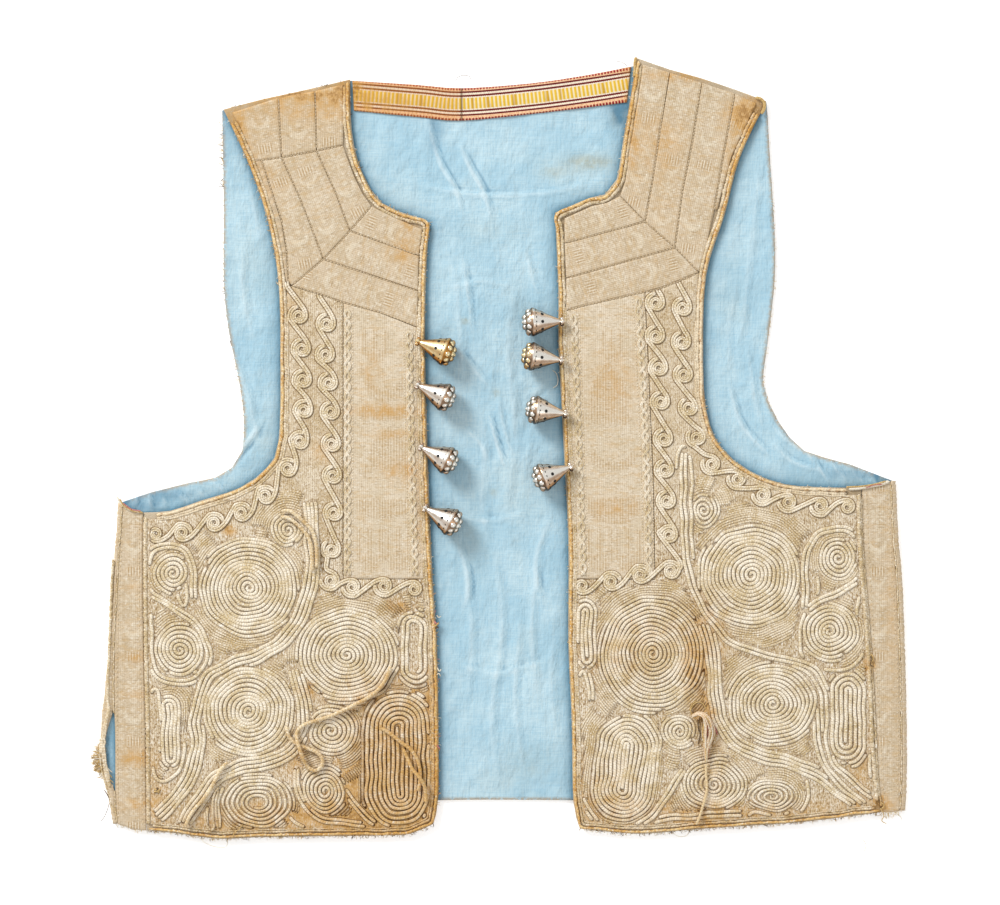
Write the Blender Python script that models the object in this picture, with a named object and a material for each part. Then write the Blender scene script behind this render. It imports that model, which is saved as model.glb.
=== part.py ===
"""An embroidered waistcoat, lying on its back with both fronts laid open over the lined back.

The scene is in metres with +Z up: the front faces +Z and the neck is towards +Y. The tables below
are in millimetres, measured from the middle of the garment, and MM turns them into metres. Every
cut line runs anticlockwise round its piece, so the cloth is always on the line's left.
"""

import math
from collections import namedtuple

import bmesh
import bpy
from mathutils import Matrix, Vector
from mathutils.geometry import delaunay_2d_cdt

MM = 0.001

# Thickness of each cloth, and the clearance between pieces that touch.
GAP = 0.3
BACK_CLOTH = 1.2
LINING_CLOTH = 1.0
FRONT_CLOTH = 1.2
RIBBON_CLOTH = 1.0
CORD_GROUND = 0.9

# Heights of the layers above the table.
LINING_BASE = BACK_CLOTH + GAP
LINING_TOP = LINING_BASE + LINING_CLOTH
FRONT_BASE = LINING_TOP + GAP
FRONT_TOP = FRONT_BASE + FRONT_CLOTH
TRIM_BASE = FRONT_TOP + GAP
RIBBON_TOP = TRIM_BASE + RIBBON_CLOTH
GROUND_TOP = TRIM_BASE + CORD_GROUND

# Couched cord: two strands lie side by side, so one ridge is a pair wide.
CORD_PAIR = 5.0
CORD_RISE = 1.4
CREST_TOP = GROUND_TOP + CORD_RISE
SCROLL_RADIUS = 5.2
SCROLL_CREST = 3.6
SCROLL_SIDES = 8
RACETRACK_SIDES = 8
RACETRACK_OUTER_SIDES = 12

# A spiral starts with its foot, then its crest, at these turns from its middle, and ends in a stub.
EYE_FOOT = 0.5
EYE_CREST = 0.8
FEWEST_SIDES = 7
MOST_SIDES = 20
CORD_END_TURN = 0.02
BRAID_WIDTH = 4.4
BRAID_RISE = 0.9
FIELD_MARGIN = 0.8

# The cord along the cut edges, and the loose ends that have come away.
EDGE_CORD = 3.0
EDGE_CORD_INSET = 2.1
EDGE_MARGIN = 4.1
LOOSE_CORD = 2.4
LOOSE_THREAD = 1.6
FRAYED_BUNDLE = 3.6
CORD_BED = CREST_TOP + GAP + LOOSE_CORD / 2
CORD_OVER = CORD_BED + LOOSE_CORD + GAP

# The side fold turns from the front's level down to the table and ends in a lip under the back.
FOLD_RADIUS = FRONT_TOP / 2
FOLD_WALL = 1.2
FOLD_LIP = 8.0
FOLD_ARC_STEPS = 5

# How closely lines are drawn, and points nearer than SAME_POINT count as one.
SAME_POINT = 0.05
CURVE_STEP = 9.0
SPIRAL_STEP = 6.5
CREASE_STEP = 9.0
RUN_STEP = 10.0
BRAID_STEP = 30.0
EDGE_CORD_STEP = 9.0
LOOSE_STEP = 2.6  # in diameters

Cut = namedtuple("Cut", "name line")
FoldRow = namedtuple("FoldRow", "y seam edge fold")
Spiral = namedtuple("Spiral", "x y radius turns")
Racetrack = namedtuple("Racetrack", "x y radius spine lean rings")
CordRun = namedtuple("CordRun", "line")
ScrollRow = namedtuple("ScrollRow", "line count")
Crease = namedtuple("Crease", "line width rise")
Piece = namedtuple("Piece", "name outline")
ButtonRow = namedtuple("ButtonRow", "name tip_x tip_y base_x base_y")
TurnRow = namedtuple("TurnRow", "along radius")
CordRow = namedtuple("CordRow", "name diameter route")

# ---------------------------------------------------------------- cut lines of the fronts

LEFT_FRONT_CUTS = (
    Cut("shoulder", ((-93, 221), (-123, 214), (-146, 209), (-169, 203))),
    Cut("armhole", ((-169, 203), (-153, 168), (-142, 134), (-136, 98), (-135, 52), (-136, 4),
                    (-143, -12), (-159, -24), (-183, -32), (-201, -38), (-217, -39))),
    Cut("side", ((-217, -39), (-217, -92), (-215.5, -176), (-215, -230))),
    Cut("hem", ((-215, -230), (-195, -232), (-171, -235), (-147, -234), (-75, -233),
                (-57, -232), (-43, -226))),
    Cut("centre", ((-43, -226), (-40, -210), (-40, -160), (-41, -116), (-44, -68), (-47, 16),
                   (-48, 70), (-47, 112), (-45, 135))),
    Cut("neck", ((-45, 135), (-55, 139), (-74, 147), (-86, 166), (-92, 190), (-93, 221))),
)

RIGHT_FRONT_CUTS = (
    Cut("shoulder", ((157, 208), (138, 215), (117, 222), (99, 227), (79, 234))),
    Cut("neck", ((79, 234), (75, 208), (71, 185), (67, 161), (60, 152), (51, 150), (30, 141))),
    Cut("centre", ((30, 141), (32, 94), (32, 64), (35, 4), (38, -56), (38, -116), (40, -164),
                   (41, -212), (45, -229))),
    Cut("hem", ((45, -229), (81, -232), (117, -229), (177, -225), (226, -219))),
    Cut("side", ((226, -219), (224, -206), (221, -152), (217, -92), (214, -56), (214, -24))),
    Cut("armhole", ((214, -24), (195, -24), (168, -22), (147, -14), (130, 0), (121, 22),
                    (119, 58), (121, 104), (132, 140), (141, 174), (157, 208))),
)

# ---------------------------------------------------------------- side panels and side folds

# seam: outer edge of the side panel; edge: free edge of the fold strip; fold: the outermost line.
LEFT_FOLD = (
    FoldRow(-33, -229.5, -229.8, -232.5),
    FoldRow(-50, -230.5, -230.8, -233.5),
    FoldRow(-68, -232.0, -232.3, -235.0),
    FoldRow(-92, -233.2, -233.5, -236.3),
    FoldRow(-116, -234.6, -234.9, -238.0),
    FoldRow(-146, -235.0, -235.3, -240.5),
    FoldRow(-158, -234.6, -235.4, -242.0),
    FoldRow(-168, -234.2, -238.4, -242.7),
    FoldRow(-178, -234.0, -240.4, -243.0),
    FoldRow(-190, -234.0, -239.6, -242.4),
    FoldRow(-199, -234.0, -237.4, -241.2),
    FoldRow(-206, -234.0, -234.6, -239.5),
    FoldRow(-216, -233.8, -234.1, -237.2),
    FoldRow(-226, -232.8, -233.1, -235.8),
)
RIGHT_FOLD = (
    FoldRow(-20, 231.4, 231.7, 234.8),
    FoldRow(-32, 232.0, 232.3, 235.4),
    FoldRow(-56, 233.2, 233.5, 236.6),
    FoldRow(-80, 235.2, 235.5, 238.8),
    FoldRow(-116, 236.6, 236.9, 240.2),
    FoldRow(-152, 237.6, 237.9, 241.2),
    FoldRow(-188, 238.0, 238.3, 241.6),
    FoldRow(-206, 237.6, 237.9, 241.2),
    FoldRow(-218, 237.0, 237.3, 240.6),
)
LEFT_BAND_TOP = ((-217, -40), (-224, -37))
LEFT_BAND_HEM = ((-224, -229),)
RIGHT_BAND_TOP = ((223, -23),)
RIGHT_BAND_HEM = ((232, -219),)

# ---------------------------------------------------------------- back

NECK_RIBBON_TOP = ((76, 229), (50, 224), (16, 219), (-26, 216), (-53, 218), (-92, 220.5))
NECK_RIBBON_FOOT = ((-91, 202), (-51, 198), (-26, 196), (16, 200), (50, 204), (73.5, 207))
BACK_LEFT_ARMHOLE = ((-170, 202.5), (-169, 148), (-169, 100), (-166, 70), (-161, 46), (-157, 20),
                     (-158, -2), (-164, -12), (-174, -18), (-189, -21), (-213, -27))
BACK_RIGHT_ARMHOLE = ((207, -10), (192, -6), (180, -2), (171, 6), (164, 16), (158, 28),
                      (155, 40), (158, 64), (162, 100), (162, 130), (159, 178), (157.5, 207.5))
BACK_HEM = ((-226, -225), (-123, -216), (-40, -212), (40, -212), (147, -214), (231, -217))

# Soft creases of the lining, clear of all that lies on it.
LINING_CREASES = (
    Crease(((-45, 192), (-39, 171), (-30, 158)), 5.0, 1.0),
    Crease(((-25, 178), (-15, 161), (-9, 142)), 5.0, 0.9),
    Crease(((-62, 152), (-20, 150), (24, 151), (52, 156)), 6.0, 0.7),
    Crease(((-26, 110), (-22, 90), (-21, 70)), 4.5, 0.7),
    Crease(((-10, 17), (-5, 3), (0, -12)), 5.0, 0.9),
    Crease(((10, 120), (17, 100), (20, 92)), 4.5, 0.6),
    Crease(((-24, -70), (-20, -110), (-22, -150)), 6.0, 0.8),
    Crease(((22, -60), (16, -105), (20, -160)), 6.0, 0.8),
    Crease(((-158, 120), (-157, 90), (-150, 62)), 5.0, 0.8),
    Crease(((148, 130), (145, 96), (141, 60)), 5.0, 0.8),
)

# ---------------------------------------------------------------- ribbons and plastrons

LEFT_RIBBONS = (
    Piece("strap_top_outer_left", ((-164, 201), (-159, 192), (-150, 172), (-134, 174), (-136, 210))),
    Piece("strap_top_middle_left", ((-136, 210), (-134, 174), (-113, 178), (-114, 214))),
    Piece("strap_top_inner_left", ((-114, 214), (-113, 178), (-97, 181.4), (-97, 218))),
    Piece("strap_armhole_left", ((-150, 172), (-144.5, 156), (-139, 140), (-134.6, 120), (-131.4, 99),
                                 (-130, 99), (-131, 118), (-134, 136), (-140, 154), (-146, 172.5))),
    Piece("strap_outer_left", ((-146, 172.5), (-140, 154), (-134, 136), (-131, 118), (-130, 99),
                               (-128, 97), (-109, 113), (-116, 132), (-124, 152), (-134, 174))),
    Piece("strap_middle_left", ((-134, 174), (-124, 152), (-116, 132), (-109, 113), (-93, 130),
                                (-102, 154), (-113, 178))),
    Piece("strap_inner_left", ((-113, 178), (-102, 154), (-93, 130), (-80, 145), (-85, 152),
                               (-90, 162), (-94.5, 174), (-97, 181.4))),
    Piece("chest_upper_left", ((-80, 145), (-93, 130), (-51.5, 115), (-49.5, 131), (-66, 138))),
    Piece("chest_middle_left", ((-93, 130), (-109, 113), (-52, 94), (-51.5, 115))),
    Piece("chest_lower_left", ((-109, 113), (-128, 97), (-111, 92), (-97, 87), (-75, 81),
                               (-52.5, 72), (-52, 94))),
)
RIGHT_RIBBONS = (
    Piece("strap_neck_right", ((82.5, 230), (80, 212), (77, 194), (74, 176), (72, 160), (69, 151),
                               (84, 135.5), (88.5, 160), (93, 190), (99, 225))),
    Piece("strap_inner_right", ((99, 225), (93, 190), (88.5, 160), (84, 135.5), (102, 120),
                                (106.5, 154), (112.5, 184), (118, 219))),
    Piece("strap_middle_right", ((118, 219), (112.5, 184), (106.5, 154), (102, 120),
                                 (116.5, 105), (121, 121), (125.5, 142), (130.5, 172),
                                 (138, 212.5))),
    Piece("strap_outer_right", ((138, 212.5), (130.5, 172), (125.5, 142), (127.5, 143),
                                (136, 174.5), (151, 206.5))),
    Piece("chest_upper_right", ((69, 151), (61, 147), (52, 145), (35.5, 137.5), (35.5, 122.5),
                                (84, 135.5))),
    Piece("chest_middle_right", ((84, 135.5), (35.5, 122.5), (36.5, 101.5), (102, 120))),
    Piece("chest_lower_right", ((102, 120), (36.5, 101.5), (36.5, 82), (45, 84.5), (69, 90),
                                (84, 93.4), (93, 95.5), (116.5, 105))),
)
LEFT_PLASTRON = Piece("plastron_left", ((-52.5, 72), (-75, 81), (-97, 87), (-97, -79), (-48.5, -79),
                                        (-49, -60), (-51.5, 16), (-52.5, 50)))
LEFT_BRAIDS = (((-93.5, 82), (-93.5, 2), (-93.5, -76)), ((-56, 69), (-55, 16), (-52.3, -76)))
RIGHT_PLASTRON = Piece("plastron_right", ((36.5, 82), (36.5, 66), (39.5, 4), (42.5, -56),
                                          (42.5, -79), (90, -79), (89, -20), (86, 52),
                                          (84, 93.4), (69, 90), (45, 84.5)))
RIGHT_BRAIDS = (((40.2, 79), (43, 4), (46, -76)), ((80.2, 89), (82.5, 52), (85.5, -20), (86.6, -76)))

# ---------------------------------------------------------------- couched cord fields

# Each field starts under the chest ribbons and goes round the foot of its plastron.
PLASTRON_FOOT = -79
LEFT_FIELD_TOP = 97
LEFT_FIELD_CHEST = ((-128, 97), (-130.5, 97))
LEFT_FIELD_PLASTRON = ((-48, PLASTRON_FOOT), (-97, PLASTRON_FOOT), (-97, 87), (-111, 92))
RIGHT_FIELD_TOP = 103
RIGHT_FIELD_CHEST = ((116.5, 105), (93, 95.5), (84, 93.4))
RIGHT_FIELD_PLASTRON = ((86, 52), (89, -20), (90, PLASTRON_FOOT), (42.8, PLASTRON_FOOT))

LEFT_SPIRALS = (
    Spiral(-155.5, -84, 30, 6),
    Spiral(-95.5, -126, 29, 6),
    Spiral(-157, -158, 27, 5),
    Spiral(-107, -209, 13.5, 3),
    Spiral(-104, -171, 14, 3),
    Spiral(-199, -75, 13.5, 3),
    Spiral(-194, -123, 13, 3),
    Spiral(-130, -50, 8, 2),
)
RIGHT_SPIRALS = (
    Spiral(150, -76, 30, 6),
    Spiral(88, -125, 30, 6),
    Spiral(158, -154, 26, 5),
    Spiral(104, -170, 9.5, 2),
    Spiral(201, -63, 11, 2),
    Spiral(196, -111, 15, 3),
    Spiral(119, -36, 8, 2),
)
# radius: outer turn; spine: half the straight run; lean: turn of the spine from +Y, in degrees.
LEFT_RACETRACKS = (
    Racetrack(-148, -213, 15.5, 6, 90, 3),
    Racetrack(-67, -178, 19, 13, 3, 4),
    Racetrack(-54.5, -118, 8.5, 13, 0, 2),
    Racetrack(-205, -172, 9, 17, 0, 2),
)
RIGHT_RACETRACKS = (
    Racetrack(68, -190, 18, 12, -12, 4),
    Racetrack(124, -202, 16, 3, 90, 3),
    Racetrack(163, -209, 7.5, 4, 90, 2),
    Racetrack(206, -160, 10, 17, 3, 2),
    Racetrack(50, -111, 6.5, 12, 0, 1),
)
LEFT_SCROLLS = (
    ScrollRow(((-124, 80), (-123, 40), (-124, 4), (-132, -12)), 5),
    ScrollRow(((-157, -36), (-175, -43), (-207, -51)), 4),
    ScrollRow(((-106, 76), (-105, 21), (-105, -36), (-105, -78)), 9),
    ScrollRow(((-90, -86), (-73, -86), (-55, -86)), 3),
)
RIGHT_SCROLLS = (
    ScrollRow(((106, 85), (107, 44), (113, 6)), 5),
    ScrollRow(((124, -10), (139, -20), (170, -33), (204, -37)), 6),
    ScrollRow(((92, 86), (94, 20), (98, -40), (99, -76)), 9),
    ScrollRow(((83, -87), (66, -87), (50, -87)), 3),
)
LEFT_RUNS = (
    CordRun(((-116, -18), (-114, -48), (-116, -78), (-126, -108))),
    CordRun(((-126, -122), (-150, -124), (-172, -131), (-184, -146), (-187, -182), (-208, -220))),
    CordRun(((-124, -152), (-128, -178), (-146, -191), (-170, -196), (-189, -222))),
    CordRun(((-92, -224.5), (-60, -222.5))),
)
RIGHT_RUNS = (
    CordRun(((109, -6), (110, -56), (117, -92), (124, -108))),
    CordRun(((122, -118), (136, -122), (162, -124), (186, -134), (192, -152), (196, -186), (216, -206))),
    CordRun(((46, -136), (45.5, -176), (49, -212))),
    CordRun(((96, -224), (144, -221), (172, -219.5))),
)

# ---------------------------------------------------------------- buttons and loose cords

# From the tip to the crown of the domed base.
BUTTON_PROFILE = (
    TurnRow(0.4, 1.6),
    TurnRow(1.6, 1.6),
    TurnRow(2.2, 1.1),
    TurnRow(18.4, 8.2),
    TurnRow(19.2, 8.7),
    TurnRow(20.4, 8.7),
    TurnRow(23.2, 6.8),
    TurnRow(25.0, 3.6),
)
BUTTON_LENGTH = 25.6
BUTTON_RIM = 19.8
BUTTON_RADIUS = 8.7
BUTTON_TIP_HEIGHT = 9.6
BUTTON_SIDES = 12
SETTLING_STEPS = 20
BUTTONS = (
    ButtonRow("button_left_1", -54.0, 64.0, -35.0, 57.0),
    ButtonRow("button_left_2", -54.0, 38.0, -36.0, 30.0),
    ButtonRow("button_left_3", -52.0, 1.0, -34.0, -8.0),
    ButtonRow("button_left_4", -49.5, -35.5, -31.5, -45.0),
    ButtonRow("button_right_1", 36.0, 75.5, 16.0, 75.0),
    ButtonRow("button_right_2", 35.5, 52.0, 16.0, 54.5),
    ButtonRow("button_right_3", 38.0, 20.0, 18.0, 22.5),
    ButtonRow("button_right_4", 41.0, -11.0, 22.5, -18.0),
)

LOOSE_CORDS = (
    CordRow("loose_cord_left_loop", LOOSE_CORD, (
        (-68.5, -131, CORD_BED), (-71, -138, CORD_BED), (-75.5, -144.5, CORD_BED),
        (-81.5, -149.5, CORD_BED), (-89, -153.5, CORD_BED), (-97, -157.5, CORD_BED),
        (-105, -161, CORD_BED), (-113, -163.5, CORD_BED), (-120, -166, CORD_BED),
        (-124.5, -170, CORD_BED), (-124.5, -175, CORD_OVER - 1), (-123, -180, CORD_OVER),
        (-121, -186, CORD_OVER - 1), (-118.5, -191, CORD_BED), (-114, -193.5, CORD_BED),
        (-110, -191, CORD_BED), (-109.5, -186.5, CORD_BED), (-113, -182.5, CORD_BED),
        (-119, -180, CORD_BED), (-125, -177.5, CORD_BED), (-129.5, -173, CORD_BED),
        (-131, -167, CORD_BED))),
    CordRow("loose_cord_left_front", LOOSE_CORD, (
        (-74, -168, CORD_BED), (-68, -172, CORD_BED), (-62.5, -176.5, CORD_BED),
        (-57, -180.5, CORD_BED), (-53, -186, CORD_BED), (-51, -193, CORD_BED),
        (-51, -200, CORD_BED), (-52, -206, CORD_BED))),
    CordRow("loose_cord_left_twin", LOOSE_CORD, (
        (-61, -180.5, CORD_BED), (-58.5, -186, CORD_BED), (-55.5, -192.5, CORD_OVER - 1),
        (-51.5, -197, CORD_OVER), (-48.5, -202, CORD_OVER - 1), (-47.5, -208, CORD_BED),
        (-47.5, -213, CORD_BED))),
    CordRow("loose_cord_left_hem", LOOSE_CORD, (
        (-166.5, -188.5, CORD_BED), (-171, -194, CORD_BED), (-174, -200, CORD_BED),
        (-177, -205.5, CORD_BED), (-181, -211, CORD_BED), (-185.5, -216, CORD_BED),
        (-189, -221, CORD_BED), (-191.5, -227, CORD_BED))),
    CordRow("loose_cord_left_upper", LOOSE_CORD, (
        (-134, -38, CORD_BED), (-129, -38, CORD_BED), (-124, -41.5, CORD_BED),
        (-119.5, -45.5, CORD_BED), (-115.5, -50, CORD_BED), (-113.5, -56, CORD_BED),
        (-112.8, -63, CORD_BED), (-112.8, -72, CORD_BED))),
    CordRow("loose_cord_left_lower", LOOSE_CORD, (
        (-134.5, -41.5, CORD_BED), (-130, -42.2, CORD_BED), (-125.5, -45.2, CORD_BED),
        (-121.5, -49, CORD_BED), (-118, -53.5, CORD_BED), (-116.2, -59, CORD_BED),
        (-115.6, -66, CORD_BED), (-115.6, -74, CORD_BED))),
    CordRow("frayed_bundle_right", FRAYED_BUNDLE, (
        (112, -161, CORD_BED + 0.6), (116, -159.5, CORD_BED + 1.2), (120, -161.5, CORD_BED + 1.8),
        (122, -167, CORD_BED + 1.2), (122, -174, CORD_BED + 0.6), (121, -181, CORD_BED + 0.6),
        (120.5, -189, CORD_BED + 0.6))),
    CordRow("loose_thread_right", LOOSE_THREAD, (
        (120.5, -189.4, CORD_BED), (120.5, -196, CORD_BED - 0.4), (121, -202, CORD_BED - 0.4),
        (120.5, -208, CORD_BED - 0.4), (118.5, -215, CORD_BED - 0.4),
        (116.5, -221.5, CORD_BED - 0.4), (114.5, -226, CORD_BED - 0.4))),
)

# ---------------------------------------------------------------- finishes

Finish = namedtuple("Finish", "name colour roughness metallic")
METAL_RIBBON = Finish("metal_ribbon", (0.62, 0.52, 0.38, 1.0), 0.55, 0.25)
CORDED_CLOTH = Finish("corded_cloth", (0.70, 0.59, 0.41, 1.0), 0.60, 0.20)
BASE_CLOTH = Finish("base_cloth", (0.55, 0.45, 0.32, 1.0), 0.85, 0.0)
BLUE_LINING = Finish("blue_lining", (0.42, 0.66, 0.76, 1.0), 0.80, 0.0)
STRIPED_RIBBON = Finish("striped_ribbon", (0.80, 0.52, 0.20, 1.0), 0.70, 0.0)
OCHRE_CORD = Finish("ochre_cord", (0.76, 0.55, 0.24, 1.0), 0.65, 0.10)
CREAM_CORD = Finish("cream_cord", (0.76, 0.64, 0.44, 1.0), 0.60, 0.15)
SILVER = Finish("silver", (0.80, 0.76, 0.70, 1.0), 0.22, 1.0)


def clear_scene():
    for item in list(bpy.data.objects):
        bpy.data.objects.remove(item, do_unlink=True)


def finish_material(finish):
    """The Principled material of a finish, made once."""
    known = bpy.data.materials.get(finish.name)
    if known:
        return known
    made = bpy.data.materials.new(finish.name)
    made.use_nodes = True
    shader = made.node_tree.nodes["Principled BSDF"]
    shader.inputs["Base Color"].default_value = finish.colour
    shader.inputs["Roughness"].default_value = finish.roughness
    shader.inputs["Metallic"].default_value = finish.metallic
    return made


def add_object(name, data, finish):
    data.materials.append(finish_material(finish))
    made = bpy.data.objects.new(name, data)
    bpy.context.collection.objects.link(made)
    return made


def object_from_faces(name, points, faces, finish):
    """A mesh object from points in millimetres, its faces turned outwards."""
    mesh = bpy.data.meshes.new(name)
    mesh.from_pydata([Vector(point) * MM for point in points], [], faces)
    sheet = bmesh.new()
    sheet.from_mesh(mesh)
    bmesh.ops.recalc_face_normals(sheet, faces=sheet.faces)
    sheet.to_mesh(mesh)
    sheet.free()
    return add_object(name, mesh, finish)


# ---------------------------------------------------------------- lines


def smooth(points, step=CURVE_STEP):
    """A Catmull-Rom curve through the points, in two or three dimensions, sampled about every step."""
    points = [Vector(point) for point in points]
    if len(points) < 3:
        return points
    padded = [2 * points[0] - points[1], *points, 2 * points[-1] - points[-2]]
    curve = []
    for before, start, end, after in zip(padded, padded[1:], padded[2:], padded[3:]):
        count = max(1, round((end - start).length / step))
        for index in range(count):
            t = index / count
            curve.append(0.5 * (2 * start + (end - before) * t
                                + (2 * before - 5 * start + 4 * end - after) * t * t
                                + (3 * start - before - 3 * end + after) * t ** 3))
    curve.append(points[-1])
    return curve


def left_normal(start, end):
    along = (end - start).normalized()
    return Vector((-along.y, along.x))


def moved_in(loop, distance):
    """A closed loop with each point moved to its left, towards the cloth, by the distance."""
    moved = []
    for index, point in enumerate(loop):
        before = left_normal(loop[index - 1], point)
        after = left_normal(point, loop[(index + 1) % len(loop)])
        moved.append(point + (before + after) * distance / (1 + before.dot(after)))
    return moved


def beside(line, distance):
    """An open line moved to its left by the distance."""
    moved = []
    for index, point in enumerate(line):
        before = line[max(index - 1, 0)]
        after = line[min(index + 1, len(line) - 1)]
        moved.append(point + left_normal(before, after) * distance)
    return moved


def without_repeats(loop):
    return [point for index, point in enumerate(loop) if (point - loop[index - 1]).length > SAME_POINT]


def border_distance(point, loop):
    """How far a point is from a loop's nearest side."""
    nearest = math.inf
    for index, start in enumerate(loop):
        side = loop[(index + 1) % len(loop)] - start
        share = max(0.0, min(1.0, (point - start).dot(side) / side.length_squared))
        nearest = min(nearest, (point - start - side * share).length)
    return nearest


def is_inside(point, loop):
    """Whether a point is inside a loop, counted by the sides that a ray to +X crosses."""
    inside = False
    for index, start in enumerate(loop):
        end = loop[(index + 1) % len(loop)]
        if (start.y > point.y) != (end.y > point.y):
            crossing = start.x + (end.x - start.x) * (point.y - start.y) / (end.y - start.y)
            inside ^= point.x < crossing
    return inside


# ---------------------------------------------------------------- cloth walls


INSIDE_ONLY = 1
NEAREST = 1e-5


def triangulated(loop, lines):
    """Points (with the index of their first source) and triangles inside a loop that hold the lines."""
    points = list(loop)
    edges = [(index, (index + 1) % len(loop)) for index in range(len(loop))]
    for line in lines:
        first = len(points)
        points.extend(line)
        edges.extend((first + index, first + index + 1) for index in range(len(line) - 1))
    found, _, triangles, sources, _, _ = delaunay_2d_cdt(points, edges, [], INSIDE_ONLY, NEAREST)
    return found, [source[0] if source else None for source in sources], triangles


def cloth_wall(name, loop, base, top, finish, ridges=()):
    """A closed wall of cloth. Its plain underside is at base; ridges, as (line, height), rise from top."""
    lines = [line for line, _ in ridges]
    heights = [top] * len(loop)
    for line, height in ridges:
        heights.extend([height] * len(line))
    upper, upper_sources, upper_faces = triangulated(loop, lines)
    lower, lower_sources, lower_faces = triangulated(loop, [])
    points = []
    for point, source in zip(upper, upper_sources):
        points.append((point.x, point.y, top if source is None else heights[source]))
    points.extend((point.x, point.y, base) for point in lower)
    above = {source: index for index, source in enumerate(upper_sources)}
    below = {source: index + len(upper) for index, source in enumerate(lower_sources)}
    faces = [tuple(face) for face in upper_faces]
    faces.extend(tuple(index + len(upper) for index in reversed(face)) for face in lower_faces)
    for index in range(len(loop)):
        after = (index + 1) % len(loop)
        faces.append((below[index], below[after], above[after], above[index]))
    return object_from_faces(name, points, faces, finish)


def crest(line, width, foot, height):
    """A ridge along an open line. Its feet meet at both ends, half a width beyond the crest's own ends."""
    run = width / 2
    first = line[0] + (line[1] - line[0]).normalized() * run
    last = line[-1] + (line[-2] - line[-1]).normalized() * run
    ridge = [first, *line[1:-1], last]
    ridges = [(ridge, height)]
    for distance in (run, -run):
        ridges.append(([line[0], *beside(ridge, distance), line[-1]], foot))
    return ridges


def kept_inside(ridges, loop):
    """The stretches of the ridges that stay clear of the loop's border."""
    kept = []
    for line, height in ridges:
        stretch = []
        for point in line:
            if is_inside(point, loop) and border_distance(point, loop) > FIELD_MARGIN:
                stretch.append(point)
                continue
            if len(stretch) > 1:
                kept.append((stretch, height))
            stretch = []
        if len(stretch) > 1:
            kept.append((stretch, height))
    return kept


# ---------------------------------------------------------------- couched cord


def round_point(centre, angle, distance):
    return Vector((centre.x + distance * math.cos(angle), centre.y + distance * math.sin(angle)))


def spiral_ridges(spiral):
    """The crest and the foot of a cord that winds out from the middle, down to the ground at its end."""
    pitch = spiral.radius / spiral.turns
    crest_line = []
    foot = []
    turn = EYE_FOOT
    while turn < spiral.turns:
        angle = 2 * math.pi * turn
        foot.append(round_point(spiral, angle, pitch * turn))
        if turn > EYE_CREST:
            crest_line.append(round_point(spiral, angle, pitch * (turn - 0.5)))
        sides = 2 * math.pi * pitch * turn / SPIRAL_STEP
        turn += 1 / max(FEWEST_SIDES, min(MOST_SIDES, sides))
    end = 2 * math.pi * (spiral.turns + CORD_END_TURN)
    foot.append(round_point(spiral, end, pitch * (spiral.turns - 0.2)))
    foot.append(round_point(spiral, end + 2 * math.pi * CORD_END_TURN, pitch * (spiral.turns - 0.5)))
    return [(crest_line, CREST_TOP), (foot, GROUND_TOP)]


def ring(centre, radius, sides, spine=0.0, lean=0.0):
    """A closed ring, its halves drawn apart along a leaning spine as on a racetrack."""
    turned = Matrix.Rotation(math.radians(lean), 2)
    points = []
    for index in range(sides + 1):
        angle = 2 * math.pi * (index % sides + 0.5) / sides
        half = math.copysign(spine, math.sin(angle))
        place = Vector((radius * math.cos(angle), radius * math.sin(angle) + half))
        points.append(turned @ place + Vector((centre.x, centre.y)))
    return points


def racetrack_ridges(track):
    """Nested turns round a straight spine, with a valley along the spine."""
    pitch = track.radius / track.rings
    valley = Matrix.Rotation(math.radians(track.lean), 2) @ Vector((0, track.spine))
    middle = Vector((track.x, track.y))
    ridges = [([middle - valley, middle + valley], GROUND_TOP)]
    for index in range(track.rings):
        crest_radius = pitch * (index + 0.5)
        foot_radius = pitch * (index + 1)
        sides = RACETRACK_SIDES if index < 2 else RACETRACK_OUTER_SIDES
        ridges.append((ring(track, crest_radius, sides, track.spine, track.lean), CREST_TOP))
        ridges.append((ring(track, foot_radius, sides, track.spine, track.lean), GROUND_TOP))
    return ridges


def scroll_ridges(row):
    """Small scrolls, evenly spaced along a line."""
    track = smooth(row.line, 1.0)
    ridges = []
    for index in range(row.count):
        centre = track[round(index * (len(track) - 1) / (row.count - 1))]
        ridges.append((ring(centre, SCROLL_RADIUS, SCROLL_SIDES), GROUND_TOP))
        ridges.append((ring(centre, SCROLL_CREST, SCROLL_SIDES), CREST_TOP))
    return ridges


def field_ridges(spirals, racetracks, scrolls, runs):
    ridges = []
    for spiral in spirals:
        ridges.extend(spiral_ridges(spiral))
    for track in racetracks:
        ridges.extend(racetrack_ridges(track))
    for row in scrolls:
        ridges.extend(scroll_ridges(row))
    for run in runs:
        ridges.extend(crest(smooth(run.line, RUN_STEP), CORD_PAIR, GROUND_TOP, CREST_TOP))
    return ridges


# ---------------------------------------------------------------- the garment


def front_outline(cuts):
    """The loop round a front, and the first and last index of each cut in it."""
    loop = []
    spans = {}
    for cut in cuts:
        start = len(loop)
        loop.extend(smooth(cut.line)[:-1])
        spans[cut.name] = (start, len(loop))
    return loop, spans


def span_of(loop, spans, name):
    start, end = spans[name]
    return [loop[index % len(loop)] for index in range(start, end + 1)]


def lower_than(line, limit):
    return [point for point in line if point.y < limit]


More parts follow.
